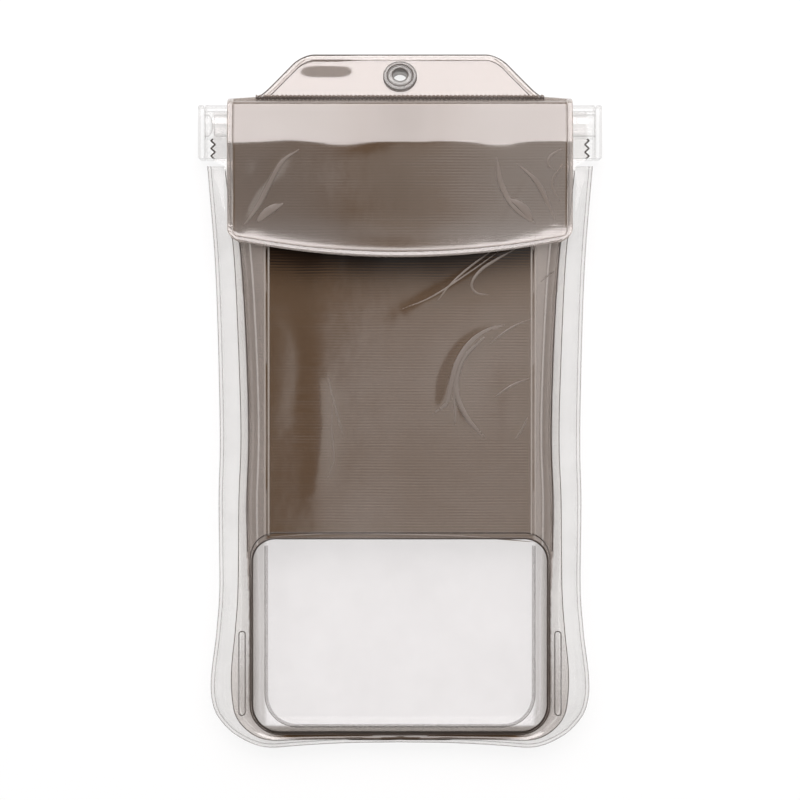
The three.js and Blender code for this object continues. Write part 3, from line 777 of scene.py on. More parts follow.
def cut_by(obj: bpy.types.Object, tool: bpy.types.Object, operation: str) -> None:
    """Cuts a piece with a tool, which is then removed, and leaves no modifier.

    Args:
        obj: the piece.
        tool: the tool.
        operation: DIFFERENCE to cut away what is in the tool, INTERSECT to keep only that.
    """
    modifier = obj.modifiers.new("cut", "BOOLEAN")
    modifier.operation = operation
    modifier.solver = "EXACT"
    modifier.object = tool
    made = bpy.data.meshes.new_from_object(obj.evaluated_get(bpy.context.evaluated_depsgraph_get()))
    material = obj.data.materials[0]
    obj.modifiers.clear()
    obj.data = made
    made.materials.clear()
    made.materials.append(material)
    bpy.data.objects.remove(tool, do_unlink=True)
    smooth(made, SOFT_EDGE_ANGLE)


# Plan of the pouch


@dataclass(eq=False)
class Plan:
    """Where the pouch's edges and films lie, in millimetres.

    A place is the distance along the pouch's edge from where the straight side meets the
    bottom corner: upwards along the side it is positive, and round the corner and along
    the bottom it is negative. A reach is the distance outwards from the inner rectangle.
    """

    film: float = 0.4
    gap: float = 0.3
    pocket_half_width: float = 43.4
    pocket_bottom: float = -96.7
    corner: float = 8.7
    pocket_half_depth: float = 4.0
    pocket_top: float = 63.5
    shoulder: float = 6.0
    weld: float = 0.6
    rim: float = 1.2
    roundness: float = 0.458
    bladder_taper: float = 54.0
    bladder_top: float = 67.5
    clamp_bottom: float = 69.4
    clamp_mid: float = 6.05
    bore_y: float = 79.3
    lobe_height: float = -81.0
    seal_flare: Curve = (
        (70, 5.9), (43.5, 2.7), (23.3, 1.3), (0, 0.4), (-14, 0.3), (-29, 0.8), (-45, 0.6), (-60, 0),
    )
    border_side: Curve = (
        (70, 1.7), (44, 2.0), (15, 2.3), (-23, 2.3), (-46, 2.7), (-66, 4.1), (-78.5, 5.2),
    )
    border_corner: Curve = ((0, 4.7), (45, 2.9), (90, 1.7))
    border_bottom: Curve = ((0, 1.3),)
    bladder_side: Curve = ((70, 6.6), (40, 7.7), (0, 8.4), (-47, 8.3), (-67, 9.7), (-81, 11.3))
    bladder_corner: Curve = ((0, 10.7), (22.5, 8.2), (45, 5.9), (67.5, 4.6), (90, 3.75))
    bladder_bottom: Curve = ((17, 2.6), (0, 2.3))

    def __post_init__(self) -> None:
        """Works out the inner rectangle and the widths along the edge."""
        self.base_x = self.pocket_half_width - self.corner
        self.base_y = self.pocket_bottom + self.corner
        self.arc = math.pi / 2 * self.corner
        self.flare = self.along(self.seal_flare, ((0, 0),), ())
        self.border = self.along(self.border_side, self.border_corner, self.border_bottom)
        self.bladder = self.along(self.bladder_side, self.bladder_corner, self.bladder_bottom)
        self.weld_top = self.gap / 2 + self.film
        self.valley = self.weld_top + self.gap
        lobe = self.bladder(np.array(self.lobe_height - self.base_y)) - self.weld - self.rim
        self.lobe_half = float(self.weld_top + self.roundness * lobe)

    def along(self, side: Curve, corner: Curve, bottom: Curve) -> Callable[[Array], Array]:
        """Joins widths along the edge into one function of the place.

        Args:
            side: pairs of height and width.
            corner: pairs of corner angle and width.
            bottom: pairs of x and width.

        Returns:
            The function.
        """
        return through(
            [(y - self.base_y, w) for y, w in side]
            + [(-self.arc * a / 90, w) for a, w in corner]
            + [(-self.arc - (self.base_x - x), w) for x, w in bottom]
        )

    def seal(self, place: Array) -> Array:
        """Returns the reach of the weld line."""
        return self.corner + np.maximum(self.flare(place), 0.0)

    def mid(self, y: Array) -> Array:
        """Returns the height of the middle plane, which sinks from the clamp to the bottom lobes."""
        t = (self.clamp_bottom - y) / (self.clamp_bottom - self.lobe_height)
        return mix(self.clamp_mid, self.lobe_half, np.clip(t, 0.0, 1.0))

    def locate(self, x: Array, y: Array) -> tuple[Array, Array]:
        """Finds points of the plan along the edge.

        Args:
            x: across the pouch.
            y: up the pouch.

        Returns:
            The place and the reach.
        """
        right = np.maximum(np.abs(x) - self.base_x, 0.0)
        below = np.maximum(self.base_y - y, 0.0)
        angle = np.arctan2(below, right)
        low = np.where(right > 0, -self.corner * angle, -self.arc - (self.base_x - np.abs(x)))
        return np.where(below <= 0, y - self.base_y, low), np.hypot(right, below)

    def point(self, place: Array, reach: Array, side: Array) -> tuple[Array, Array]:
        """Finds the point of a place and a reach.

        Args:
            place: along the edge.
            reach: outwards from the inner rectangle.
            side: -1 on the left, 1 on the right.

        Returns:
            x and y.
        """
        angle = np.clip(-place / self.corner, 0.0, math.pi / 2)
        x = self.base_x + reach * np.cos(angle) + np.minimum(place + self.arc, 0.0)
        y = self.base_y - reach * np.sin(angle) + np.maximum(place, 0.0)
        return side * x, y

    def tube_width(self, place: Array) -> Array:
        """Returns the width of the air tube between its two flat seams."""
        return self.bladder(place) - self.weld - self.rim

    def tube(self, place: Array, y: Array, d: Array) -> Array:
        """Works out the outside of the air tube above the middle plane.

        It is the seam's height plus the tube's half height times a flattened sine.

        Args:
            place: along the edge.
            y: up the pouch.
            d: distance outside the weld line.

        Returns:
            The height.
        """
        width = np.maximum(self.tube_width(place), 0.05)
        t = np.clip((d - self.weld) / width, 0.0, 1.0)
        full = 1.0 - ease(y, self.bladder_taper, self.bladder_top)
        return self.weld_top + self.roundness * width * full * np.sin(math.pi * t) ** 0.7

    def panel(self, y: Array, d: Array) -> Array:
        """Works out the inside of a panel off the middle plane.

        It rises steeply from the weld line and levels off at the shoulder's width.

        Args:
            y: up the pouch.
            d: distance inside the weld line.

        Returns:
            The distance from the middle plane.
        """
        t = np.clip((d - self.weld) / (self.shoulder - self.weld), 0.0, 1.0)
        opened = 1.0 - ease(y, self.pocket_top, self.clamp_bottom)
        floor = mix(self.valley, self.gap / 2, ease(y, self.bladder_top, self.clamp_bottom))
        return mix(floor, self.pocket_half_depth, opened * (1.0 - (1.0 - t) ** 2.2))

    def front(self, x: Array, y: Array) -> Array:
        """Works out the inside of the front panel: over the pocket, the weld line and the air tube.

        Args:
            x: across the pouch.
            y: up the pouch.

        Returns:
            The height above the floor.
        """
        place, reach = self.locate(x, y)
        d = reach - self.seal(place)
        nudge = 0.1
        rise = (self.tube(place, y, d + nudge) - self.tube(place, y, d - nudge)) / (2 * nudge)
        lift = self.gap * np.sqrt(1.0 + np.clip(rise, -2.0, 2.0) ** 2)
        sunk = self.panel(y, np.zeros_like(d)) - self.valley
        return self.mid(y) + np.where(d < 0, self.panel(y, -d), self.tube(place, y, d) + lift + sunk)


PLAN = Plan()


@dataclass(frozen=True)
class Crease:
    """A soft ridge or furrow of a film, along a curve given by pixels of the photograph."""

    pixels: Curve
    height: float
    width: float

    def lift(self, x: Array, y: Array) -> Array:
        """Works out how far the crease lifts the film.

        That is the height times a bell of the distance to the curve, fading at its ends.

        Args:
            x: across the pouch.
            y: up the pouch.

        Returns:
            The lift.
        """
        curve = smooth_path([from_photo(*p) for p in self.pixels], 1.0)
        along = np.linspace(0.0, 1.0, len(curve))
        strength = np.sin(math.pi * np.clip(along, 0.02, 0.98)) ** 0.6
        dx = x[..., None] - curve[:, 0]
        dy = y[..., None] - curve[:, 1]
        square = dx * dx + dy * dy
        nearest = np.argmin(square, axis=-1)
        least = np.take_along_axis(square, nearest[..., None], axis=-1)[..., 0]
        return self.height * strength[nearest] * np.exp(-least / self.width**2)


@dataclass(frozen=True)
class FineCrease:
    """A sharp little fold of a film, along a curve given by pixels of the photograph."""

    pixels: Curve
    half_width: float
    height: float

    def ridge(self, surface: Callable[[Array, Array], Array]) -> Mesh:
        """Lays the fold on a surface as a flat oval that thins out to both ends.

        Args:
            surface: the height of the film's outside at points of the plan.

        Returns:
            The points and the faces.
        """
        xy = smooth_path([from_photo(*p) for p in self.pixels], 0.5)
        path = np.column_stack([xy, surface(xy[:, 0], xy[:, 1])])
        along = np.linspace(0.02, 0.98, len(path))
        taper = np.sin(math.pi * along)
        uneven = 1.0 + 0.35 * np.sin(11.0 * along + self.pixels[0][0])
        return bead(path, self.half_width * taper**0.6, self.height * taper**2 * uneven, sides=10)


def creased(creases: Sequence[Crease], x: Array, y: Array) -> Array:
    """Returns the sum of all creases at points of the plan."""
    return sum((c.lift(x, y) for c in creases), np.zeros_like(x))


def fine_folds(
    name: str, creases: Sequence[FineCrease], surface: Callable[[Array, Array], Array]
) -> bpy.types.Object:
    """Lays fine creases on a surface, all in one piece, paler than the film as painted highlights.

    Args:
        name: the piece's name.
        creases: the creases.
        surface: the height of the film's outside at points of the plan.

    Returns:
        The piece.
    """
    points, faces = joined([c.ridge(surface) for c in creases])
    # The creases are painted paler than the film: painted highlights.
    folds = object_from(name, (points, faces), Finish.CREASE, tint=np.full(len(points), 0.9))
    return dress(folds)


@dataclass
class PouchBody:
    """The tinted front with its camera window, the clear back and the weld lines between them."""

    plan: Plan = PLAN
    rows: int = 210
    columns: int = 132
    fold_half_width: float = 38.3
    fold_bottom: float = -93.7
    fold_radius: float = 8.9
    fold_top: float = 60.0
    fold_pair: float = 1.1
    window_half_width: float = 42.8
    window_top: float = -39.7
    window_bottom: float = -96.1
    window_top_corner: float = 7.0
    window_bottom_corner: float = 8.1
    window_depth: float = 13.0
    mouth_half_width: float = 54.0
    crimp: float = 0.6
    crimp_pitch: float = 2.2
    # where the flap's painted shadow on the panel starts, bows and fades
    shade_top: float = 41.0
    shade_bow: float = 5.3
    shade_reach: float = 9.0
    half_hem: float = 49.55
    wrap_radius: float = 3.55
    bore_gap: float = 3.9
    weld_top: float = 66.0
    loop_middle: float = 45.5
    loop_half: float = 0.85
    loop_top: float = -67.5
    loop_bottom: float = -90.0
    creases: tuple[Crease, ...] = (
        Crease(((400, 318), (455, 289), (522, 247)), 0.30, 2.4),
        Crease(((443, 412), (452, 374), (470, 347), (506, 325)), 0.34, 2.2),
        Crease(((462, 362), (461, 398), (480, 436)), 0.20, 2.0),
        Crease(((316, 372), (322, 430), (314, 505)), 0.16, 3.2),
        Crease(((500, 340), (512, 400), (505, 480)), 0.2, 4.0),
        Crease(((285, 300), (300, 360), (292, 450)), -0.1, 4.0),
    )
    fine_creases: tuple[FineCrease, ...] = (
        FineCrease(((437, 302), (452, 284), (470, 268), (492, 252)), 0.3, 0.06),
        FineCrease(((400, 311), (430, 299), (460, 280), (500, 252)), 0.25, 0.05),
        FineCrease(((488, 296), (476, 294), (471, 286), (480, 272), (496, 261), (514, 251)), 0.4, 0.09),
        FineCrease(
            ((504, 326), (484, 333), (468, 346), (457, 364), (450, 388), (446, 404), (434, 414)), 0.8, 0.10
        ),
        FineCrease(((484, 338), (464, 358), (456, 380), (458, 400), (468, 420), (484, 438)), 0.85, 0.11),
        FineCrease(((474, 346), (462, 362), (455, 384), (454, 408), (456, 426)), 0.4, 0.07),
        FineCrease(((328, 376), (331, 390), (334, 402), (338, 418), (344, 437)), 0.22, 0.05),
        FineCrease(((333, 402), (332, 430), (334, 460), (328, 478)), 0.2, 0.04),
        FineCrease(((530, 320), (514, 327), (500, 336), (488, 346)), 0.25, 0.06),
        FineCrease(((529, 379), (512, 386), (494, 398)), 0.3, 0.06),
        FineCrease(((452, 398), (455, 412), (454, 424)), 0.35, 0.06),
        FineCrease(((527, 418), (520, 432), (514, 440)), 0.25, 0.05),
        FineCrease(((540, 283), (548, 276), (555, 272)), 0.3, 0.06),
        FineCrease(((270, 537), (330, 534), (400, 535), (470, 537), (532, 542)), 0.32, 0.08),
    )

    def half_width(self, y: Array) -> Array:
        """Works out half the width of the tinted panel, its border included.

        Args:
            y: up the pouch.

        Returns:
            Half the width.
        """
        plan = self.plan
        side = plan.base_x + plan.seal(y - plan.base_y) + plan.border(y - plan.base_y)
        angle = np.radians(np.linspace(0.0, 90.0, 60))
        reach = plan.corner + plan.border(-plan.corner * angle)
        corner_x = plan.base_x + reach * np.cos(angle)
        corner_y = plan.base_y - reach * np.sin(angle)
        return np.where(y < plan.base_y, np.interp(-y, -corner_y, corner_x), side)

    def back_half_width(self, y: Array) -> Array:
        """Returns half the width of the back panel: as far as the weld line and the weld."""
        return self.half_width(y) - self.plan.border(y - self.plan.base_y) + self.plan.weld

    def film_grid(
        self,
        edge: Callable[[Array], Array],
        bottom: float,
        height: Callable[[Array, Array], Array],
        side: float,
    ) -> Array:
        """Lays a film from the bottom edge to the mouth and half round the rod.

        Rows are heights, closer together near the bottom. Columns are equal shares of the
        half width. In the mouth the film follows the slot and then the rod's circle.

        Args:
            edge: half the film's width at each height.
            bottom: height of the lower edge.
            height: height of the film's inside above the floor.
            side: 1 for the front film, -1 for the rear one.

        Returns:
            The grid of points.
        """
        plan = self.plan
        t = np.linspace(0.0, 1.0, self.rows)
        y = mix(bottom, plan.clamp_bottom, t**1.25)
        s = np.linspace(-1.0, 1.0, self.columns)
        s = np.sign(s) * (1.0 - (1.0 - np.abs(s)) ** 1.15)
        half = mix(edge(y), self.mouth_half_width, ease(y, plan.bladder_top, plan.clamp_bottom))
        x = half[:, None] * s[None, :]
        yy = np.broadcast_to(y[:, None], x.shape)
        body = np.stack([x, yy, height(x, yy)], axis=-1)
        leave = plan.bore_y - self.wrap_radius - plan.gap / 2
        slot_y = np.linspace(plan.clamp_bottom, leave, 22)[1:]
        angle = np.radians(np.linspace(165.0, 12.0, 18))
        path_y = np.concatenate([slot_y, plan.bore_y + self.wrap_radius * np.cos(angle)])
        path_z = np.concatenate([np.full(len(slot_y), plan.gap / 2), self.wrap_radius * np.sin(angle)])
        mouth_x = (self.mouth_half_width + self.zigzag(path_y) * (path_y <= leave))[:, None] * s[None, :]
        rows = [np.broadcast_to(c[:, None], mouth_x.shape) for c in (path_y, plan.clamp_mid + side * path_z)]
        return np.concatenate([body, np.stack([mouth_x, *rows], axis=-1)])

    def front_height(self, x: Array, y: Array) -> Array:
        """Works out the inside of the creased front panel.

        Args:
            x: across the pouch.
            y: up the pouch.

        Returns:
            The height above the floor.
        """
        place, reach = self.plan.locate(x, y)
        inside = ease(self.plan.seal(place) - reach, 1.0, 6.0)
        clear = 1.0 - ease(y, 45.0, 62.0)
        free = 1.0 - 0.8 * (1.0 - ease(y, self.window_top - 2.0, self.window_top + 4.0))
        return self.plan.front(x, y) + inside * clear * free * creased(self.creases, x, y)

    def outside(self, x: Array, y: Array) -> Array:
        """Returns the height of the front film's outside."""
        return self.front_height(x, y) + self.plan.film

    def back_height(self, x: Array, y: Array) -> Array:
        """Works out the inside of the back panel.

        Args:
            x: across the pouch.
            y: up the pouch.

        Returns:
            The height above the floor.
        """
        place, reach = self.plan.locate(x, y)
        d = np.maximum(self.plan.seal(place) - reach, 0.0)
        return self.plan.mid(y) - self.plan.panel(y, d)

    def tint(self, x: Array, y: Array) -> Array:
        """Works out how dense the tint is: full over the pocket, lighter on its shoulders and border.

        Over the pocket it is painted a little denser on the left and lighter on the right, and its
        shoulders are painted lighter: painted shade and light of the lamps at the sides. It is
        densest in the painted shadow of the flap, which follows the flap's bowed hem, and along the
        bottom. At the mouth's ends it is clear.

        Args:
            x: across the pouch.
            y: up the pouch.

        Returns:
            The tint.
        """
        place, reach = self.plan.locate(x, y)
        low = 1.0 - ease(place, -4.0, 26.0)
        bottom = 1.0 - ease(place, -self.plan.arc - 4.0, -self.plan.arc + 4.0)
        border = mix(mix(0.05, 0.2, low), 1.3, bottom)
        # Darker on the left and lighter on the right: painted shade and light of the fill lamp on the right.
        across = 1.08 - 0.09 * ease(x, -27.0, -20.0) - 0.025 * ease(x, 0.0, 20.0)
        # The shoulders beyond the fold are painted lighter: painted light that reaches under the film from
        # the sides.
        inside = mix(across, 0.63, np.abs(x) > self.fold_half_width + 0.3)
        hem = self.shade_top + self.shade_bow * (x / self.half_hem) ** 2
        # Painted shadow of the flap on the panel, densest just under its bowed hem.
        painted_flap_shadow = 0.56 * bell(np.maximum(hem - y, 0.0), self.shade_reach) * (inside > 0.9)
        mouth = ease(y, 62.0, 67.0) * ease(np.abs(x), 45.0, 48.5)
        beyond = reach - self.plan.seal(place) > 0
        return mix(np.where(beyond, border, mix(inside + painted_flap_shadow, 1.2, bottom)), 0.0, mouth)

    def window_tint(self, x: Array, y: Array) -> Array:
        """Works out how far the window is darkened towards brown: at its sides, and most at its bottom.

        Args:
            x: across the pouch.
            y: up the pouch.

        Returns:
            The tint.
        """
        side = 0.24 + 0.3 * ease(np.abs(x), self.window_half_width - 2.4, self.window_half_width)
        low = 0.62 + 0.2 * ease(-y, -self.window_bottom - 1.6, -self.window_bottom)
        beside = ease(np.abs(x), self.fold_half_width + 0.2, self.fold_half_width + 0.8)
        below = ease(-y, -self.fold_bottom, 0.6 - self.fold_bottom)
        return np.maximum(side * beside, low * below)

    def window_outline(self, inset: float, samples: int = 14) -> Array:
        """Makes the window's outline, counterclockwise.

        Args:
            inset: how far it is moved inwards.
            samples: points to a corner.

        Returns:
            The outline's points.
        """
        half = self.window_half_width - inset
        top, bottom = self.window_top - inset, self.window_bottom + inset
        upper, lower = self.window_top_corner - inset, self.window_bottom_corner - inset
        corners = (
            (half - upper, top - upper, upper),
            (upper - half, top - upper, upper),
            (lower - half, bottom + lower, lower),
            (half - lower, bottom + lower, lower),
        )
        return rounded(corners, samples)

    def fold_line(self, offset: float, top: float, bottom: float) -> list[Array]:
        """Draws the fold round the pocket's flat front, between two heights.

        Args:
            offset: how far outside the fold the line runs.
            top: the height where it starts.
            bottom: the height where it ends; below the corners it is one line.

        Returns:
            The line's parts, each a list of points.
        """
        radius = self.fold_radius + offset
        side = self.fold_half_width + offset
        corner_y = self.fold_bottom + self.fold_radius
        straight = np.arange(top, max(bottom, corner_y), -0.6)
        left = np.column_stack([np.full(len(straight), -side), straight])
        if bottom > corner_y:
            return [left, left * [-1.0, 1.0]]
        angle = np.radians(np.linspace(180.0, 270.0, 30))
        arc_x = radius - side + radius * np.cos(angle)
        arc = np.column_stack([arc_x, corner_y + radius * np.sin(angle)])
        run = np.linspace(arc_x[-1], -arc_x[-1], 120)[1:-1]
        base = np.column_stack([run, np.full(len(run), arc[-1, 1])])
        half = np.concatenate([left, arc])
        return [np.concatenate([half, base, half[::-1] * [-1.0, 1.0]])]

    def cut(self, name: str, shape: Mesh, operation: str, inset: float, finish: Finish) -> bpy.types.Object:
        """Makes a piece from the front film by cutting it with the window's prism.

        Args:
            name: the piece's name.
            shape: the whole film.
            operation: DIFFERENCE for the panel, INTERSECT for the window.
            inset: how far the prism is moved inwards.
            finish: the piece's finish.

        Returns:
            The cut piece.
        """
        obj = object_from(name, shape, finish)
        outline = self.window_outline(inset)
        rings = [np.column_stack([outline, np.full(len(outline), z)]) for z in (-1.0, self.window_depth)]
        cut_by(obj, object_from("window_tool", prism(*rings), Finish.CLEAR), operation)
        return obj

    def on_film(self, xy: Array) -> Array:
        """Returns points of the plan lifted onto the front film."""
        return np.column_stack([xy, self.outside(xy[:, 0], xy[:, 1])])

    def ridges(
        self,
        name: str,
        lines: Sequence[Array],
        finish: Finish,
        half_width: float,
        height: float,
        sides: int = 8,
    ) -> bpy.types.Object:
        """Lays raised lines on the front film, all in one piece.

        Args:
            name: the piece's name.
            lines: points of the plan, for each line.
            finish: the lines' finish.
            half_width: half their width.
            height: half their height.
            sides: points round the oval.

        Returns:
            The piece.
        """
        parts = [bead(self.on_film(xy), half_width, height, sides=sides) for xy in lines]
        return dress(object_from(name, joined(parts), finish))

    def ring(self, name: str, xy: Array, half_width: float, height: float = 0.14) -> bpy.types.Object:
        """Lays a closed weld line on the front film.

        Args:
            name: the piece's name.
            xy: points of the plan.
            half_width: half its width.
            height: half its height.

        Returns:
            The piece.
        """
        shape = closed_bead(self.on_film(xy), half_width, height)
        return dress(object_from(name, shape, Finish.WELD))

    def edge_line(
        self, offset: float, bottom_place: float, side: float, from_border: bool = False
    ) -> list[Array]:
        """Follows the weld line, or the border's edge, on one side of the pouch.

        Args:
            offset: how far outside it the line runs.
            bottom_place: the place where it ends.
            side: -1 on the left, 1 on the right.
            from_border: whether it follows the border's edge.

        Returns:
            One list of points of the plan.
        """
        plan = self.plan
        place = np.linspace(self.weld_top - plan.base_y, bottom_place, 260)
        reach = plan.seal(place) + (plan.border(place) if from_border else 0.0) + offset
        return [np.stack(plan.point(place, reach, np.full_like(place, side)), axis=1)]

    def zigzag(self, path_y: Array) -> Array:
        """Returns the zigzag of the films' side edges in the clamp's slot."""
        phase = (path_y - self.plan.clamp_bottom) / self.crimp_pitch
        return self.crimp * (2.0 * np.abs(2.0 * (phase - np.floor(phase + 0.5))) - 1.0)

    def mouth_edges(self) -> bpy.types.Object:
        """Draws the crimped side edges of the mouth's films as dark melted beads.

        Returns:
            The piece.
        """
        y = np.linspace(self.plan.clamp_bottom + 0.2, self.plan.bore_y - self.bore_gap, 60)
        x = self.mouth_half_width + self.zigzag(y)
        z = np.full_like(y, self.plan.clamp_mid + 0.35)
        parts = [bead(np.column_stack([side * x, y, z]), 0.24, 0.3) for side in (-1.0, 1.0)]
        return dress(object_from("mouth_edges", joined(parts), Finish.WELD))

    def loop_outline(self, side: float) -> Array:
        """Draws the long narrow loop embossed in the border, low on one side.

        Args:
            side: -1 on the left, 1 on the right.

        Returns:
            Points of the plan.
        """
        angle = turn(60)
        x = side * self.loop_middle + self.loop_half * np.cos(angle)
        end = np.where(np.sin(angle) >= 0, self.loop_top, self.loop_bottom)
        return np.stack([x, end + self.loop_half * np.sin(angle)], axis=1)

    def panel_lines(self) -> list[bpy.types.Object]:
        """Builds what lies on the front panel: folds, creases, the mouth's edges, welds and loops; the folds
        and the creases are pale as painted highlights.

        Returns:
            The pieces.
        """
        plan = self.plan
        made = []
        for number, offset in enumerate((0.0, self.fold_pair)):
            fold = self.fold_line(offset - 0.5, self.fold_top, self.window_top + 0.3)
            # The pocket's fold lines are pale: painted highlights.
            made.append(self.ridges(f"panel_fold_highlight_{number + 1}", fold, Finish.RIDGE, 0.30, 0.16))
        made.append(fine_folds("panel_crease_highlights", self.fine_creases, self.outside))
        made.append(self.mouth_edges())
        for side, word in ((-1.0, "left"), (1.0, "right")):
            upper = self.edge_line(0.0, self.window_top - plan.base_y - 4.0, side)
            border = self.edge_line(-0.15, -plan.arc - plan.base_x, side, from_border=True)
            made.append(self.ridges(f"pocket_weld_{word}", upper, Finish.WELD, 0.17, 0.12, sides=10))
            made.append(self.ridges(f"border_edge_{word}", border, Finish.FOLD, 0.13, 0.1, sides=10))
            made.append(self.ring(f"embossed_loop_{word}", self.loop_outline(side), 0.15))
        return made

    def window_lines(self) -> list[bpy.types.Object]:
        """Builds what lies on the camera window: its double weld line and the pocket's fold.

        Returns:
            The pieces.
        """
        made = []
        for name, inset, rise, half in (
            ("window_weld_outer", -0.5, 1.0, 0.2),
            ("window_weld_inner", 0.15, 0.0, 0.27),
        ):
            outline = self.window_outline(inset, 26)
            outline[:, 1] += rise * ease(outline[:, 1], self.window_top - 9.0, self.window_top)
            made.append(self.ring(name, outline, half))
        for name, offset, finish, half, height in (
            ("window_fold", 0.0, Finish.SEAM, 0.32, 0.2),
            ("window_fold_edge", 0.55, Finish.FOLD, 0.12, 0.12),
        ):
            fold = self.fold_line(offset, self.window_top - 2.2, self.fold_bottom)
            made.append(self.ridges(name, fold, finish, half, height))
        return made

    def build(self) -> None:
        """Builds the panels, the window and their welds."""
        plan = self.plan
        bottom = plan.pocket_bottom - float(plan.border(np.array(-plan.arc - plan.base_x)))
        front = film(self.film_grid(self.half_width, bottom, self.front_height, 1.0), plan.film, 1.0)
        panel = self.cut("front_panel_film", front, "DIFFERENCE", 0.0, Finish.PANEL)
        window = self.cut("camera_window_film", front, "INTERSECT", plan.gap, Finish.WINDOW)
        for obj, tint in ((panel, self.tint), (window, self.window_tint)):
            co = np.empty(len(obj.data.vertices) * 3)
            obj.data.vertices.foreach_get("co", co)
            co = co.reshape(-1, 3) / MM
            paint(obj.data, tint(co[:, 0], co[:, 1]))
        dress(panel, "front_panel")
        dress(window, "camera_window")

        back = self.film_grid(self.back_half_width, plan.pocket_bottom - plan.weld, self.back_height, -1.0)
        rear = object_from("back_panel_film", film(back, plan.film, -1.0), Finish.BACK)
        dress(rear, "back_panel")
        self.panel_lines()
        self.window_lines()
        LOG.info("pouch body: panels, window and welds")


@dataclass
class AirBladder:
    """The clear air bladder: a tube down each side, fat at the bottom corners, flat along the bottom."""

    plan: Plan = PLAN
    stations: int = 430
    pucker: float = 0.16
    pucker_length: float = 7.5
    pucker_wander: float = 1.7
    pucker_at: tuple[float, float] = (0.16, 0.84)

    def run(self) -> tuple[Array, Array]:
        """Follows the pouch's edge from the upper left round the bottom to the upper right.

        Returns:
            The place of each station, and its side, -1 or 1.
        """
        plan = self.plan
        u = np.linspace(-1.0, 1.0, self.stations)
        place = mix(-plan.arc - plan.base_x, plan.bladder_top - plan.base_y, np.abs(u))
        return place, np.sign(u + 1e-12)

    def skin(self, side: float) -> Array:
        """Lays one skin round the pouch.

        Rows are stations along the edge, and columns run from the weld line across the
        tube to the outer seam. Short puckers stand square to both seams: a sine along the
        edge, fading towards the tube's middle.

        Args:
            side: 1 for the front skin, -1 for the rear one.

        Returns:
            The grid of points.
        """
        plan = self.plan
        place, sign = self.run()
        share = 0.5 - 0.5 * np.cos(np.linspace(0.0, math.pi, 26))
        tube = plan.tube_width(place)[:, None]
        column = np.ones((len(place), 1))
        d = np.concatenate(
            [
                -plan.weld * column,
                plan.weld + tube * share[None, :],
                plan.weld + tube + plan.rim * 0.5 * column,
                plan.weld + tube + plan.rim * column,
            ],
            axis=1,
        )
        where = np.broadcast_to(place[:, None], d.shape)
        sign = np.broadcast_to(sign[:, None], d.shape)
        x, y = plan.point(where, plan.seal(where) + d, sign)
        height = plan.tube(where, y, d)
        t = np.clip((d - plan.weld) / np.maximum(tube, 0.05), 0.0, 1.0)
        phase = 2 * math.pi * where / self.pucker_length + self.pucker_wander * np.sin(where / 11.0)
        near = sum(bell(t - at, 0.1) for at in self.pucker_at) * (tube > 2.0)
        fade = 1.0 - ease(y, 40.0, plan.bladder_taper)
        height = height + self.pucker * np.sin(phase + sign) * near * fade * side
        return np.stack([x, y, plan.mid(y) + side * height], axis=-1)

    def seams(self) -> bpy.types.Object:
        """Lays the raised weld lines along the bladder's outer seam, on its front.

        Returns:
            The piece.
        """
        plan = self.plan
        place, sign = self.run()
        parts = []
        for back, half in ((0.12, 0.14), (1.05, 0.10)):
            x, y = plan.point(place, plan.seal(place) + plan.bladder(place) - back, sign)
            parts.append(bead(np.column_stack([x, y, plan.mid(y) + plan.weld_top]), half, 0.14))
        return dress(object_from("bladder_seam", joined(parts), Finish.SEAM))

    def build(self) -> None:
        """Builds both skins."""
        for side, word in ((1.0, "front"), (-1.0, "rear")):
            shape = film(self.skin(side), self.plan.film, -side)
            obj = object_from(f"bladder_{word}_film", shape, Finish.CLEAR)
            dress(obj, f"bladder_{word}_skin")
            [self.seams()] if side > 0 else []
        LOG.info("air bladder: two skins and their seams")


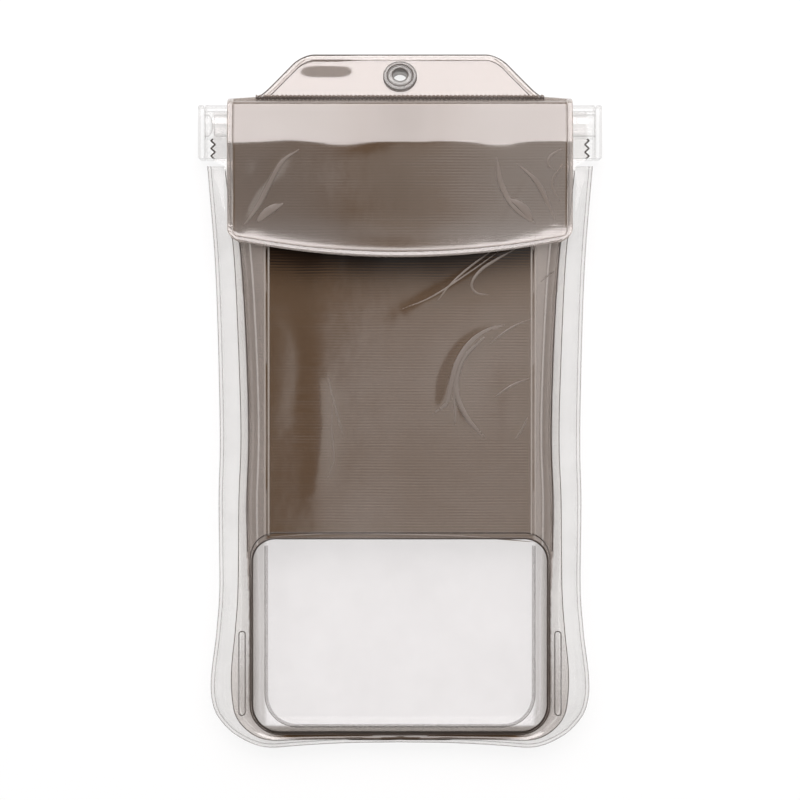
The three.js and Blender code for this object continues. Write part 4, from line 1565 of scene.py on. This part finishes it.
@dataclass
class FlapAndTab:
    """The hang tab, welded of two layers, with the flap over the clamp and the sheet behind it."""

    plan: Plan = PLAN
    tilt: float = math.radians(26.0)
    seam_y: float = 86.7
    tip_y: float = 100.45
    bead: float = 0.75
    tab_base: float = 40.5
    tab_tip: float = 28.4
    tab_corner: float = 3.4
    tab_foot: float = 1.2
    flap_half: float = 49.55
    flap_bottom: float = 40.9
    flap_bow: float = 5.3
    flap_corner: float = 3.5
    anchor_bottom: float = 52.0
    anchor_half: float = 40.0
    pocket_mouth: float = 59.5
    pocket_mouth_half: float = 42.9
    eyelet_y: float = 93.35
    eyelet_hole: float = 3.2
    eyelet_bore: float = 2.1
    eyelet_barrel: float = 2.9
    eyelet_outer: float = 4.85
    eyelet_flange: float = 0.9
    columns: int = 121
    rim: float = 1.75
    seam_half: float = 41.6
    pearl_pitch: float = 1.25
    front_tint: float = 0.58
    rear_tint: float = 0.2
    dent: tuple[float, float] = (-21.4, 95.0)
    dent_length: float = 7.6
    dent_depth: float = 0.68
    creases: tuple[Crease, ...] = (
        Crease(((232, 236), (256, 196), (284, 158)), 0.22, 2.0),
        Crease(((500, 235), (522, 200), (545, 160)), 0.2, 2.6),
        Crease(((548, 228), (556, 200), (552, 168)), -0.22, 2.2),
        Crease(((300, 210), (380, 218), (470, 205)), 0.10, 5.0),
        Crease(((255, 220), (262, 190), (258, 160)), -0.12, 3.0),
    )
    fine_creases: tuple[FineCrease, ...] = (
        FineCrease(((244, 228), (260, 206), (270, 186), (284, 163), (300, 152)), 0.9, 0.06),
        FineCrease(((258, 224), (270, 213), (284, 205)), 1.2, 0.09),
        FineCrease(((496, 160), (500, 186), (514, 210), (534, 226)), 0.9, 0.06),
        FineCrease(((508, 200), (520, 208), (532, 222)), 1.2, 0.07),
        FineCrease(((516, 166), (532, 180), (542, 196), (553, 222)), 0.8, 0.06),
        FineCrease(((563, 168), (553, 178), (551, 190), (559, 204)), 0.4, 0.06),
        FineCrease(((560, 152), (549, 159), (547, 168), (555, 174)), 0.4, 0.06),
    )

    def __post_init__(self) -> None:
        """Works out the tab's length, the seam's height and the way square to the tab."""
        off = self.plan.gap / 2 + self.bead
        self.tab_length = (self.tip_y - self.seam_y - off * math.sin(self.tilt)) / math.cos(self.tilt)
        self.seam_z = self.tab_length * math.sin(self.tilt) + off * math.cos(self.tilt)
        self.square = np.array([0.0, math.sin(self.tilt), math.cos(self.tilt)])

    def on_tab(self, distance: Array, off: Array) -> Array:
        """Returns height and depth on the tab, at a distance from the seam and off its middle plane."""
        y = self.seam_y + distance * math.cos(self.tilt) + off * math.sin(self.tilt)
        z = self.seam_z - distance * math.sin(self.tilt) + off * math.cos(self.tilt)
        return np.stack([y, z], axis=-1)

    def tab_half(self, distance: Array) -> Array:
        """Works out half the tab's width: tapering, with round tip corners and a spread foot.

        Args:
            distance: from the seam.

        Returns:
            Half the width.
        """
        straight = mix(self.tab_base, self.tab_tip, distance / self.tab_length)
        inside = np.maximum(self.tab_corner - (self.tab_length - distance), 0.0)
        round_off = self.tab_corner - np.sqrt(np.maximum(self.tab_corner**2 - inside**2, 0.0))
        return straight - round_off + self.tab_foot * np.exp(-np.maximum(distance, 0.0) / 1.1)

    def sheet_grid(self, off: float, path: Array, half: Array, bow: Array) -> Array:
        """Lays a sheet over the tab, from tip to seam, and on over a path.

        Args:
            off: the sheet's distance from the tab's middle plane.
            path: height and depth of each row after the seam.
            half: half the width of each of these rows.
            bow: how far each of these rows rises towards its ends.

        Returns:
            The grid of points.
        """
        tip = self.tab_length - self.tab_corner * (1 - np.cos(np.linspace(0.0, math.pi / 2, 12)))
        rest = np.linspace(self.tab_length - self.tab_corner, 0.4, 26)[1:]
        distance = np.concatenate([tip, rest])
        path = np.concatenate([self.on_tab(distance, np.full_like(distance, off)), path])
        half = np.concatenate([self.tab_half(distance), half])
        bow = np.concatenate([np.zeros(len(distance)), bow])
        edge = np.array([0.0, 0.08, 0.25, 0.5, 0.9, 1.3, 1.5, 1.65, 1.8, 2.0, 2.3])
        inner = np.linspace(-1.0, 1.0, self.columns - 2 * len(edge))
        flat = half - 2.6
        x = np.concatenate([edge - half[:, None], flat[:, None] * inner, half[:, None] - edge[::-1]], axis=1)
        y = path[:, :1] + bow[:, None] * (x / self.flap_half) ** 2
        return np.stack([x, y, np.broadcast_to(path[:, 1:2], x.shape)], axis=-1)

    def from_edge(self, grid: Array) -> Array:
        """Measures each point's distance from the sheet's nearest edge.

        Args:
            grid: the sheet.

        Returns:
            The distances.
        """
        side = np.abs(grid[:, :1, 0]) - np.abs(grid[..., 0])
        steps = np.linalg.norm(np.diff(grid[:, self.columns // 2], axis=0), axis=1)
        row = np.concatenate([[0.0], np.cumsum(steps)])[:, None]
        return np.minimum(side, np.minimum(row, row[-1] - row))

    def bead_height(self, grid: Array) -> Array:
        """Works out the sheet's thickness: film, and a flat bead with a round edge along the rim.

        Args:
            grid: the sheet.

        Returns:
            The thickness at each point.
        """
        distance = self.from_edge(grid)
        rounding = 0.35 + 0.65 * ease(distance, -0.25, 0.45)
        swell = (1.0 - ease(distance, self.rim - 0.35, self.rim)) * rounding
        return self.plan.film + (self.bead - self.plan.film) * swell

    def tint(self, grid: Array, tab: float) -> Array:
        """Works out how dense the brown is: full on the flap and light on the tab, and lighter in the bead
        and along the flap's bottom as painted highlights.

        Args:
            grid: the sheet.
            tab: the tab's tint.

        Returns:
            The tint of each of the film's points, on both faces.
        """
        distance = self.from_edge(grid)
        y = grid[..., 1]
        # A band along the flap's bottom, 47 mm up, is painted lighter: a painted highlight.
        density_and_highlights = 0.87 + 0.27 * bell(grid[..., 0], 20.0) - 0.17 * bell(y - 47.0, 4.5)
        density_and_highlights = mix(density_and_highlights, tab, ease(y, 84.4, 85.6))
        line = 0.35 * bell(distance - self.rim - 0.1, 0.2)
        # The bead inside the rim is painted lighter: a painted highlight.
        density_and_highlights = density_and_highlights * mix(1.0, 0.50, distance < self.rim - 0.1) + line
        return np.tile(density_and_highlights.ravel(), 2)

    def flap_path(self) -> tuple[Array, Array, Array]:
        """Draws the front sheet after the tab.

        Returns:
            The rows' places, half-widths and bow.
        """
        plan = self.plan
        keys = (
            (86.35, 7.75), (85.85, 8.9), (85.62, 10.2), (85.1, 11.3), (84.0, 11.85), (81.5, 12.2),
            (78.0, 12.75), (75.2, 13.15), (73.4, 13.3), (70.5, 13.28), (66.0, 13.0), (60.0, 12.55),
            (54.0, 12.2), (48.0, 12.05), (44.0, 12.25), (self.flap_bottom, 12.6),
        )
        path = smooth_path(keys, 0.14)
        path = np.concatenate([path[:-24:3], path[-24:]])
        share = np.clip((plan.clamp_bottom - path[:, 0]) / (plan.clamp_bottom - self.flap_bottom), 0.0, 1.0)
        above = np.maximum(self.flap_corner - (path[:, 0] - self.flap_bottom), 0.0)
        half = self.flap_half - self.flap_corner + np.sqrt(np.maximum(self.flap_corner**2 - above**2, 0.0))
        return path, half, self.flap_bow * share

    def flap(self) -> Array:
        """Returns the front sheet's grid, with its creases and the long waves along the clamp."""
        grid = self.sheet_grid(self.plan.gap / 2, *self.flap_path())
        grid[..., 2] += self.flap_lift(grid[..., 0], grid[..., 1])
        return self.dented(grid)

    def flap_lift(self, x: Array, y: Array) -> Array:
        """Works out how far creases, waves along the clamp and drooping sides move the flap.

        Args:
            x: across the pouch.
            y: up the pouch.

        Returns:
            The lift.
        """
        waves = 0.10 * np.sin(x / 6.6 + 0.6) + 0.06 * np.sin(x / 3.7 + 1.1 + y / 9.0)
        droop = -0.5 * (np.abs(x) / self.flap_half) ** 6 * ease(-y, -70.0, -55.0)
        soft = creased(self.creases, x, y) + waves * bell(y - 75.5, 3.2) + droop
        return (1.0 - ease(y, 80.0, 84.5)) * soft

    def flap_top(self, x: Array, y: Array) -> Array:
        """Works out the height of the flap's outside.

        Args:
            x: across the pouch.
            y: up the pouch.

        Returns:
            The height.
        """
        path, _, _ = self.flap_path()
        path = path[path[:, 0] < 84.0]
        span = self.plan.clamp_bottom - self.flap_bottom
        q = self.flap_bow / span * (x / self.flap_half) ** 2
        row = np.where(y < self.plan.clamp_bottom, (y - q * self.plan.clamp_bottom) / (1.0 - q), y)
        height = np.interp(row, path[::-1, 0], path[::-1, 1])
        return height + self.flap_lift(x, y) + self.plan.film

    def dented(self, grid: Array) -> Array:
        """Presses one soft wave into the tab's left half and faint waves all over it.

        The wave is a step down towards the tip, so steep in its middle that it mirrors
        the dark behind the soft box, and it fades to both sides.

        Args:
            grid: the sheet, which is changed.

        Returns:
            The same grid.
        """
        x, y = grid[..., 0], grid[..., 1]
        v = (y - self.dent[1]) / math.cos(self.tilt)
        u = (x - self.dent[0]) / self.dent_length
        step = -self.dent_depth * np.tanh(v / 3.0) * bell(v, 6.0) * np.exp(-(u**4))
        tip = np.clip((self.tip_y - y) / 13.0, 0.0, 1.0)
        ripple = 0.05 * np.sin(x / 6.1 + 2.0) * np.sin(math.pi * tip)
        grid[..., 2] += ease(y, 87.2, 89.0) * (step + ripple)
        return grid

    def under(self, y: float) -> float:
        """Returns the depth of the rear sheet's path where it lies under the back panel."""
        plan = self.plan
        return float(plan.mid(np.array(y))) - plan.pocket_half_depth - plan.film - plan.gap

    def rear(self) -> Array:
        """Lays the rear sheet: down behind the clamp, flat on the floor, then up to its weld.

        Returns:
            The grid of points.
        """
        keys = (
            (86.2, 6.3), (85.4, 4.4), (85.0, 2.6), (85.0, 1.7), (84.62, 0.78), (83.7, 0.4), (80.0, 0.4),
            (72.0, 0.4), (69.4, 0.42), (66.0, 0.75), (self.pocket_mouth, self.under(self.pocket_mouth)),
            (55.5, self.under(55.5)), (self.anchor_bottom, self.under(self.anchor_bottom)),
        )
        path = smooth_path(keys, 0.7)
        half = through(
            (
                (self.anchor_bottom, self.anchor_half),
                (self.pocket_mouth, self.pocket_mouth_half),
                (69.4, self.flap_half),
                (90.0, self.flap_half),
            )
        )
        grid = self.sheet_grid(-self.plan.gap / 2, path, half(path[:, 0]), np.zeros(len(path)))
        return self.dented(grid)

    def on_eyelet(self, x: Array, v: Array, w: Array) -> Array:
        """Returns points of the eyelet's own frame: x across, v up the tab, w square to it."""
        reach = (self.eyelet_y - self.seam_y) / math.cos(self.tilt)
        place = self.on_tab(reach + v, w)
        return np.stack([x, place[..., 0], place[..., 1]], axis=-1)

    def drilled(self, obj: bpy.types.Object) -> bpy.types.Object:
        """Cuts the eyelet's hole through a sheet, square to the tab.

        Args:
            obj: the sheet.

        Returns:
            The sheet.
        """
        x, v = self.eyelet_hole * np.cos(turn(64)), self.eyelet_hole * np.sin(turn(64))
        rings = [self.on_eyelet(x, v, np.full(64, h)) for h in (-4.0, 4.0)]
        cut_by(obj, object_from("drill", prism(*rings), Finish.CLEAR), "DIFFERENCE")
        return obj

    def turned(self, profile: Sequence[tuple[float, float]], steps: int = 72) -> Mesh:
        """Turns a closed profile round the eyelet's axis.

        Args:
            profile: radius and height of each point.
            steps: points round the axis.

        Returns:
            The points and the faces.
        """
        pts = np.array(profile)
        angle = turn(steps)[:, None]
        x, v = pts[:, 0] * np.cos(angle), pts[:, 0] * np.sin(angle)
        points = self.on_eyelet(x, v, np.broadcast_to(pts[:, 1], x.shape)).reshape(-1, 3)
        return points, grid_faces(steps, len(pts), wrap=True, close=True)

    def build_eyelet(self) -> None:
        """Builds the eyelet's front half with its barrel, the washer behind, and three dark rings as painted
        shadows in its grooves.
        """
        bore, wall = self.eyelet_bore, self.eyelet_barrel
        outer, flange = self.eyelet_outer, self.eyelet_flange
        base = self.plan.gap / 2 + self.plan.film + self.plan.gap
        front = (
            (bore, -base - flange), (wall - 0.15, -base - flange), (wall, -base - flange + 0.15),
            (wall, base), (outer - 0.12, base), (outer, base + 0.12), (outer - 0.03, base + 0.45),
            (outer - 0.25, base + 0.62), (4.1, base + 0.72), (3.85, base + 0.66), (3.72, base + 0.5),
            (3.55, base + 0.66), (3.2, base + 0.9), (2.75, base + 0.98), (2.35, base + 0.85),
            (bore + 0.03, base + 0.5),
        )
        rear = (
            (wall + 0.3, -base), (wall + 0.3, -base - 0.75), (wall + 0.45, -base - 0.9),
            (outer - 0.5, -base - 0.9), (outer - 0.1, -base - 0.6), (outer, -base - 0.25),
            (outer - 0.1, -base),
        )
        for name, profile, node in (
            ("eyelet_flange", front, "eyelet_front"),
            ("eyelet_washer", rear, "eyelet_rear"),
        ):
            shape = self.turned(profile)
            dress(object_from(name, shape, Finish.EYELET, sharp=SOFT_EDGE_ANGLE), node)
        # Three dark rings in the eyelet's grooves: painted groove shadows.
        angle = turn(12)
        rings = []
        for radius, height, half in ((outer - 0.06, 0.2, 0.1), (3.72, 0.55, 0.16), (2.2, 0.66, 0.13)):
            section = np.column_stack([radius + half * np.cos(angle), base + height + half * np.sin(angle)])
            rings.append(self.turned(section.tolist()))
        dress(object_from("eyelet_groove_shadows", joined(rings), Finish.WELD))

    def tab_lines(self) -> bpy.types.Object:
        """Draws the thin dark lines round the tab: at its edge and along the inside of its rim.

        Returns:
            The piece.
        """
        corner = self.tab_corner * (1.0 - np.sin(np.linspace(0.02, math.pi / 2, 24)))
        straight = np.linspace(0.5, self.tab_length - self.tab_corner, 60)
        distance = np.concatenate([straight, self.tab_length - corner])
        half = self.tab_half(distance)
        top = np.linspace(-half[-1], half[-1], 120)[1:-1]
        x = np.concatenate([-half, top, half[::-1]])
        v = np.concatenate([distance, np.full(len(top), distance[-1]), distance[::-1]])
        ahead = np.gradient(np.column_stack([x, v]), axis=0)
        ahead /= np.linalg.norm(ahead, axis=1, keepdims=True)
        parts = []
        edge = (0.14, self.bead * 0.8, 0.2)
        for inset, off, wide in (edge, (self.rim + 0.05, self.plan.film + 0.02, 0.12)):
            at_x, at_v = x + inset * ahead[:, 1], v - inset * ahead[:, 0]
            place = self.on_tab(at_v, np.full_like(at_v, self.plan.gap / 2 + off))
            path = smooth_path(np.column_stack([at_x, place]).tolist(), 0.35)
            parts.append(bead(path, wide, 0.1, np.broadcast_to(self.square, path.shape)))
        return object_from("tab_lines", joined(parts), Finish.WELD)

    def tab_seams(self) -> list[bpy.types.Object]:
        """Builds the two rows of pearls of the weld across the tab's foot.

        Returns:
            The pieces.
        """
        x = np.linspace(-self.seam_half, self.seam_half, 760)
        made = []
        for number, (off, finish) in enumerate(((-0.05, Finish.WELD), (0.75, Finish.PEARL))):
            height = np.full_like(x, self.plan.gap / 2 + self.plan.film + 0.05)
            path = np.column_stack([x, self.on_tab(np.full_like(x, off), height)])
            pearls = 1.0 + 0.42 * np.sin(2 * math.pi * x / self.pearl_pitch + number * math.pi)
            up = np.broadcast_to(self.square, path.shape)
            shape = bead(path, 0.34 * pearls, 0.32 * pearls, up)
            made.append(object_from(f"tab_seam_{number + 1}", shape, finish))
        return made

    def rim_pearl_highlights(self, flap: Array) -> bpy.types.Object:
        """Lays the pearled weld line along the flap's sides and its bottom, pale as a painted highlight.

        Args:
            flap: the front sheet.

        Returns:
            The piece.
        """
        raised = flap + grid_normals(flap) * (self.bead + 0.02)
        left, right, top, bottom = 4, self.columns - 5, 40, -8
        parts = []
        for line in (raised[top:, left], raised[top:, right], raised[bottom]):
            path = smooth_path(line.tolist(), 0.3)
            wave = 1.0 + 0.35 * np.sin(np.arange(len(path)) * 2.1)
            parts.append(bead(path, 0.24 * wave, 0.16 * wave))
        # The pearls are pale: painted highlights on the flap's rim bead.
        return object_from("rim_pearl_highlights", joined(parts), Finish.RIDGE)

    def lines(self, flap: Array) -> list[bpy.types.Object]:
        """Builds what lies on the front sheet: the tab's lines and seams, the rim's pearls, the creases; the
        pearls and the creases are pale as painted highlights.

        Args:
            flap: the front sheet.

        Returns:
            The pieces.
        """
        made = [self.tab_lines(), *self.tab_seams(), self.rim_pearl_highlights(flap)]
        for obj in made:
            dress(obj)
        return made + [fine_folds("flap_crease_highlights", self.fine_creases, self.flap_top)]

    def build(self) -> None:
        """Builds both sheets, the eyelet and the weld lines."""
        flap, rear = self.flap(), self.rear()
        shape = film(flap, self.bead_height(flap), -1.0)
        tint = self.tint(flap, self.front_tint)
        front = self.drilled(object_from("flap_film", shape, Finish.FLAP, tint=tint))
        dress(front, "flap_sheet")
        shape = film(rear, np.full(rear.shape[:2], self.plan.film), 1.0)
        tint = self.tint(rear, self.rear_tint)
        back = self.drilled(object_from("tab_rear_film", shape, Finish.FLAP, tint=tint))
        dress(back, "tab_sheet")
        self.build_eyelet()
        self.lines(flap)
        LOG.info("flap and tab: two sheets, eyelet and seams")


@dataclass
class Clamp:
    """The clear clamp: a slotted channel with an end cap, and the rod with its head."""

    plan: Plan = PLAN
    half_length: float = 58.0
    top: float = 84.7
    depth: float = 10.7
    corner: float = 1.0
    end: float = 1.7
    rod: float = 3.25
    bore: float = 4.25
    slot: float = 1.5
    boss: float = 2.3
    boss_foot: float = 0.6
    gap: float = 0.3
    bar_bevel: float = 0.22
    end_bevel: float = 0.35

    def outline(self) -> Array:
        """Makes the clamp's section, height and depth, counterclockwise, with round corners.

        Returns:
            The section's points.
        """
        c, mid, half = self.corner, self.plan.clamp_mid, self.depth / 2
        low, high = self.plan.clamp_bottom + c, self.top - c
        front, back = mid + half - c, mid - half + c
        return rounded(((high, front, c), (low, front, c), (low, back, c), (high, back, c)), 7)

    def section(self) -> Array:
        """Makes the channel's section: the outline, the slot and the bore in one loop.

        Returns:
            The section's points.
        """
        mid, bottom = self.plan.clamp_mid, self.plan.clamp_bottom
        outer = self.outline()
        cut = math.asin(self.slot / self.bore)
        angle = np.linspace(math.pi - cut, -math.pi + cut, 49)
        bore = [self.plan.bore_y + self.bore * np.cos(angle), mid + self.bore * np.sin(angle)]
        lips = [[[bottom, mid + self.slot]], [[bottom, mid - self.slot]]]
        half = len(outer) // 2
        return np.concatenate([outer[:half], lips[0], np.stack(bore, axis=1), lips[1], outer[half:]])

    def bar(
        self, name: str, loop: Array, x: tuple[float, float], body: str, bevel: float
    ) -> bpy.types.Object:
        """Carries a section along X and bevels its edges.

        Args:
            name: the piece's name.
            loop: the section's points, height and depth.
            x: where it starts and ends.
            body: the CAD body that it rides on.
            bevel: width of the bevel along its end edges.

        Returns:
            The piece.
        """
        rings = [np.column_stack([np.full(len(loop), at), loop]) for at in x]
        obj = object_from(name, prism(*rings), Finish.CLAMP, body, sharp=30.0)
        modifier = obj.modifiers.new("bevel", "BEVEL")
        modifier.width = bevel * MM
        modifier.segments = 2
        modifier.limit_method = "ANGLE"
        modifier.angle_limit = math.radians(SOFT_EDGE_ANGLE)
        return obj

    def revolved(self, name: str, profile: Sequence[tuple[float, float]], body: str) -> bpy.types.Object:
        """Turns a profile round the bore's axis and closes its ends with discs.

        Args:
            name: the piece's name.
            profile: radius and x of each point.
            body: the CAD body that it rides on.

        Returns:
            The piece.
        """
        pts = np.array(profile)
        angle = turn(64)[None, :]
        y = self.plan.bore_y + pts[:, :1] * np.cos(angle)
        z = self.plan.clamp_mid + pts[:, :1] * np.sin(angle)
        points = np.stack([np.broadcast_to(pts[:, 1:2], y.shape), y, z], axis=-1).reshape(-1, 3)
        return object_from(name, (points, capped(len(pts), 64)), Finish.CLAMP, body, sharp=SOFT_EDGE_ANGLE)

    def build(self) -> None:
        """Builds the channel, its end cap, the rod and its head."""
        inner, outer, r = self.half_length - self.end, self.half_length, self.rod
        span = (-inner + self.gap, inner - self.gap)
        channel = self.bar("clamp_channel_bar", self.section(), span, CHANNEL_BODY, self.bar_bevel)
        dress(channel, "clamp_channel")
        plate = self.bar("end_cap_plate", self.outline(), (-outer, -inner), CHANNEL_BODY, self.end_bevel)
        dress(plate, "channel_end_cap")
        rise, foot = self.boss - self.boss_foot, -inner + self.boss_foot
        arc = np.linspace(0.0, math.pi / 2, 12)[:-1]
        dome = [(r * math.cos(a), foot + rise * math.sin(a)) for a in arc]
        profile = [(r, -inner + 0.001), *dome, (0.05, -inner + self.boss)]
        dress(self.revolved("end_cap_boss", profile, CHANNEL_BODY))
        start = -inner + self.boss + self.gap
        profile = [(r - 0.5, start), (r - 0.15, start + 0.15), (r, start + 0.5), (r, inner - 0.001)]
        dress(self.revolved("rod_bar", profile, ROOT_BODY), "sealing_rod")
        head = self.bar("rod_head", self.outline(), (inner, outer), ROOT_BODY, self.end_bevel)
        dress(head)
        LOG.info("clamp: channel, cap, rod and head")


# Studio


@dataclass(frozen=True)
class SoftBox:
    """A rectangular soft box that faces the pouch, in metres and watts."""

    name: str
    place: tuple[float, float, float]
    width: float
    height: float
    power: float
    shade: Colour = (1.0, 1.0, 1.0)

    def hang(self) -> None:
        """Hangs the soft box."""
        data = bpy.data.lights.new(self.name, "AREA")
        data.shape = "RECTANGLE"
        data.size = self.width
        data.size_y = self.height
        data.energy = self.power
        data.color = self.shade
        lamp = bpy.data.objects.new(self.name, data)
        lamp.location = self.place
        lamp.rotation_euler = (-Vector(self.place)).to_track_quat("-Z", "Y").to_euler()
        lamp.visible_camera = False
        bpy.context.scene.collection.objects.link(lamp)


@dataclass
class Studio:
    """Floor, lights and camera: a bright white table under soft boxes, seen from straight above."""

    frame_width: float = PHOTO_WIDTH / PIXELS_PER_MM * MM
    camera_height: float = 0.80
    sensor: float = 36.0
    floor_half: float = 1.5
    floor_height: float = -0.05 * MM
    floor_shade: float = 0.14
    floor_glow: float = 0.82
    sky: float = 0.15
    bounces: int = 32
    lamps: tuple[SoftBox, ...] = (
        SoftBox("key_softbox", (0.0, 0.66, 0.72), 1.5, 1.0, 23.0, (1.0, 0.958, 0.96)),
        SoftBox("fill_softbox", (0.42, -0.10, 0.95), 0.8, 1.05, 1.9, (1.0, 0.97, 0.95)),
        SoftBox("left_strip", (-0.85, -0.1, 0.42), 1.4, 0.16, 1.2),
        SoftBox("right_strip", (0.85, -0.1, 0.42), 1.4, 0.16, 1.2),
    )

    def floor(self) -> None:
        """Lays a plain pale floor that glows a little, as a lit white table does."""
        n = Nodes("floor")
        matte = n.feed(n.add("BsdfDiffuse"), Color=(*[self.floor_shade] * 3, 1.0))
        glow = n.feed(n.add("Emission"), Color=(1.0, 1.0, 1.0, 1.0), Strength=self.floor_glow)
        n.finish(n.feed(n.add("AddShader"), i0=matte.outputs[0], i1=glow.outputs[0]).outputs[0])
        half, low = self.floor_half, self.floor_height
        corners = [(-half, -half, low), (half, -half, low), (half, half, low), (-half, half, low)]
        mesh = bpy.data.meshes.new("floor")
        mesh.from_pydata(corners, [], [[0, 1, 2, 3]])
        mesh.materials.append(n.material)
        obj = bpy.data.objects.new("floor", mesh)
        bpy.context.scene.collection.objects.link(obj)

    def camera(self) -> None:
        """Hangs the camera straight above the pouch."""
        data = bpy.data.cameras.new("camera")
        data.sensor_width = self.sensor
        data.lens = self.sensor * (self.camera_height - PLAN.clamp_mid * MM) / self.frame_width
        data.dof.use_dof = False
        camera = bpy.data.objects.new("camera", data)
        camera.location = (0.0, 0.0, self.camera_height)
        bpy.context.scene.collection.objects.link(camera)
        bpy.context.scene.camera = camera

    def build(self) -> None:
        """Builds the studio."""
        self.floor()
        for lamp in self.lamps:
            lamp.hang()
        world = bpy.data.worlds.new("studio")
        world.use_nodes = True
        back = world.node_tree.nodes["Background"]
        back.inputs["Color"].default_value = (1.0, 1.0, 1.0, 1.0)
        back.inputs["Strength"].default_value = self.sky
        scene = bpy.context.scene
        scene.world = world
        scene.view_settings.view_transform = "Standard"
        scene.cycles.transparent_max_bounces = self.bounces
        self.camera()
        LOG.info("studio: floor, lights and camera")


def main() -> None:
    """Builds the studio and every sub-assembly in order."""
    logging.basicConfig(level=logging.INFO, format="%(message)s")
    Studio().build()
    PouchBody().build()
    AirBladder().build()
    FlapAndTab().build()
    Clamp().build()


if __name__ == "__main__":
    main()
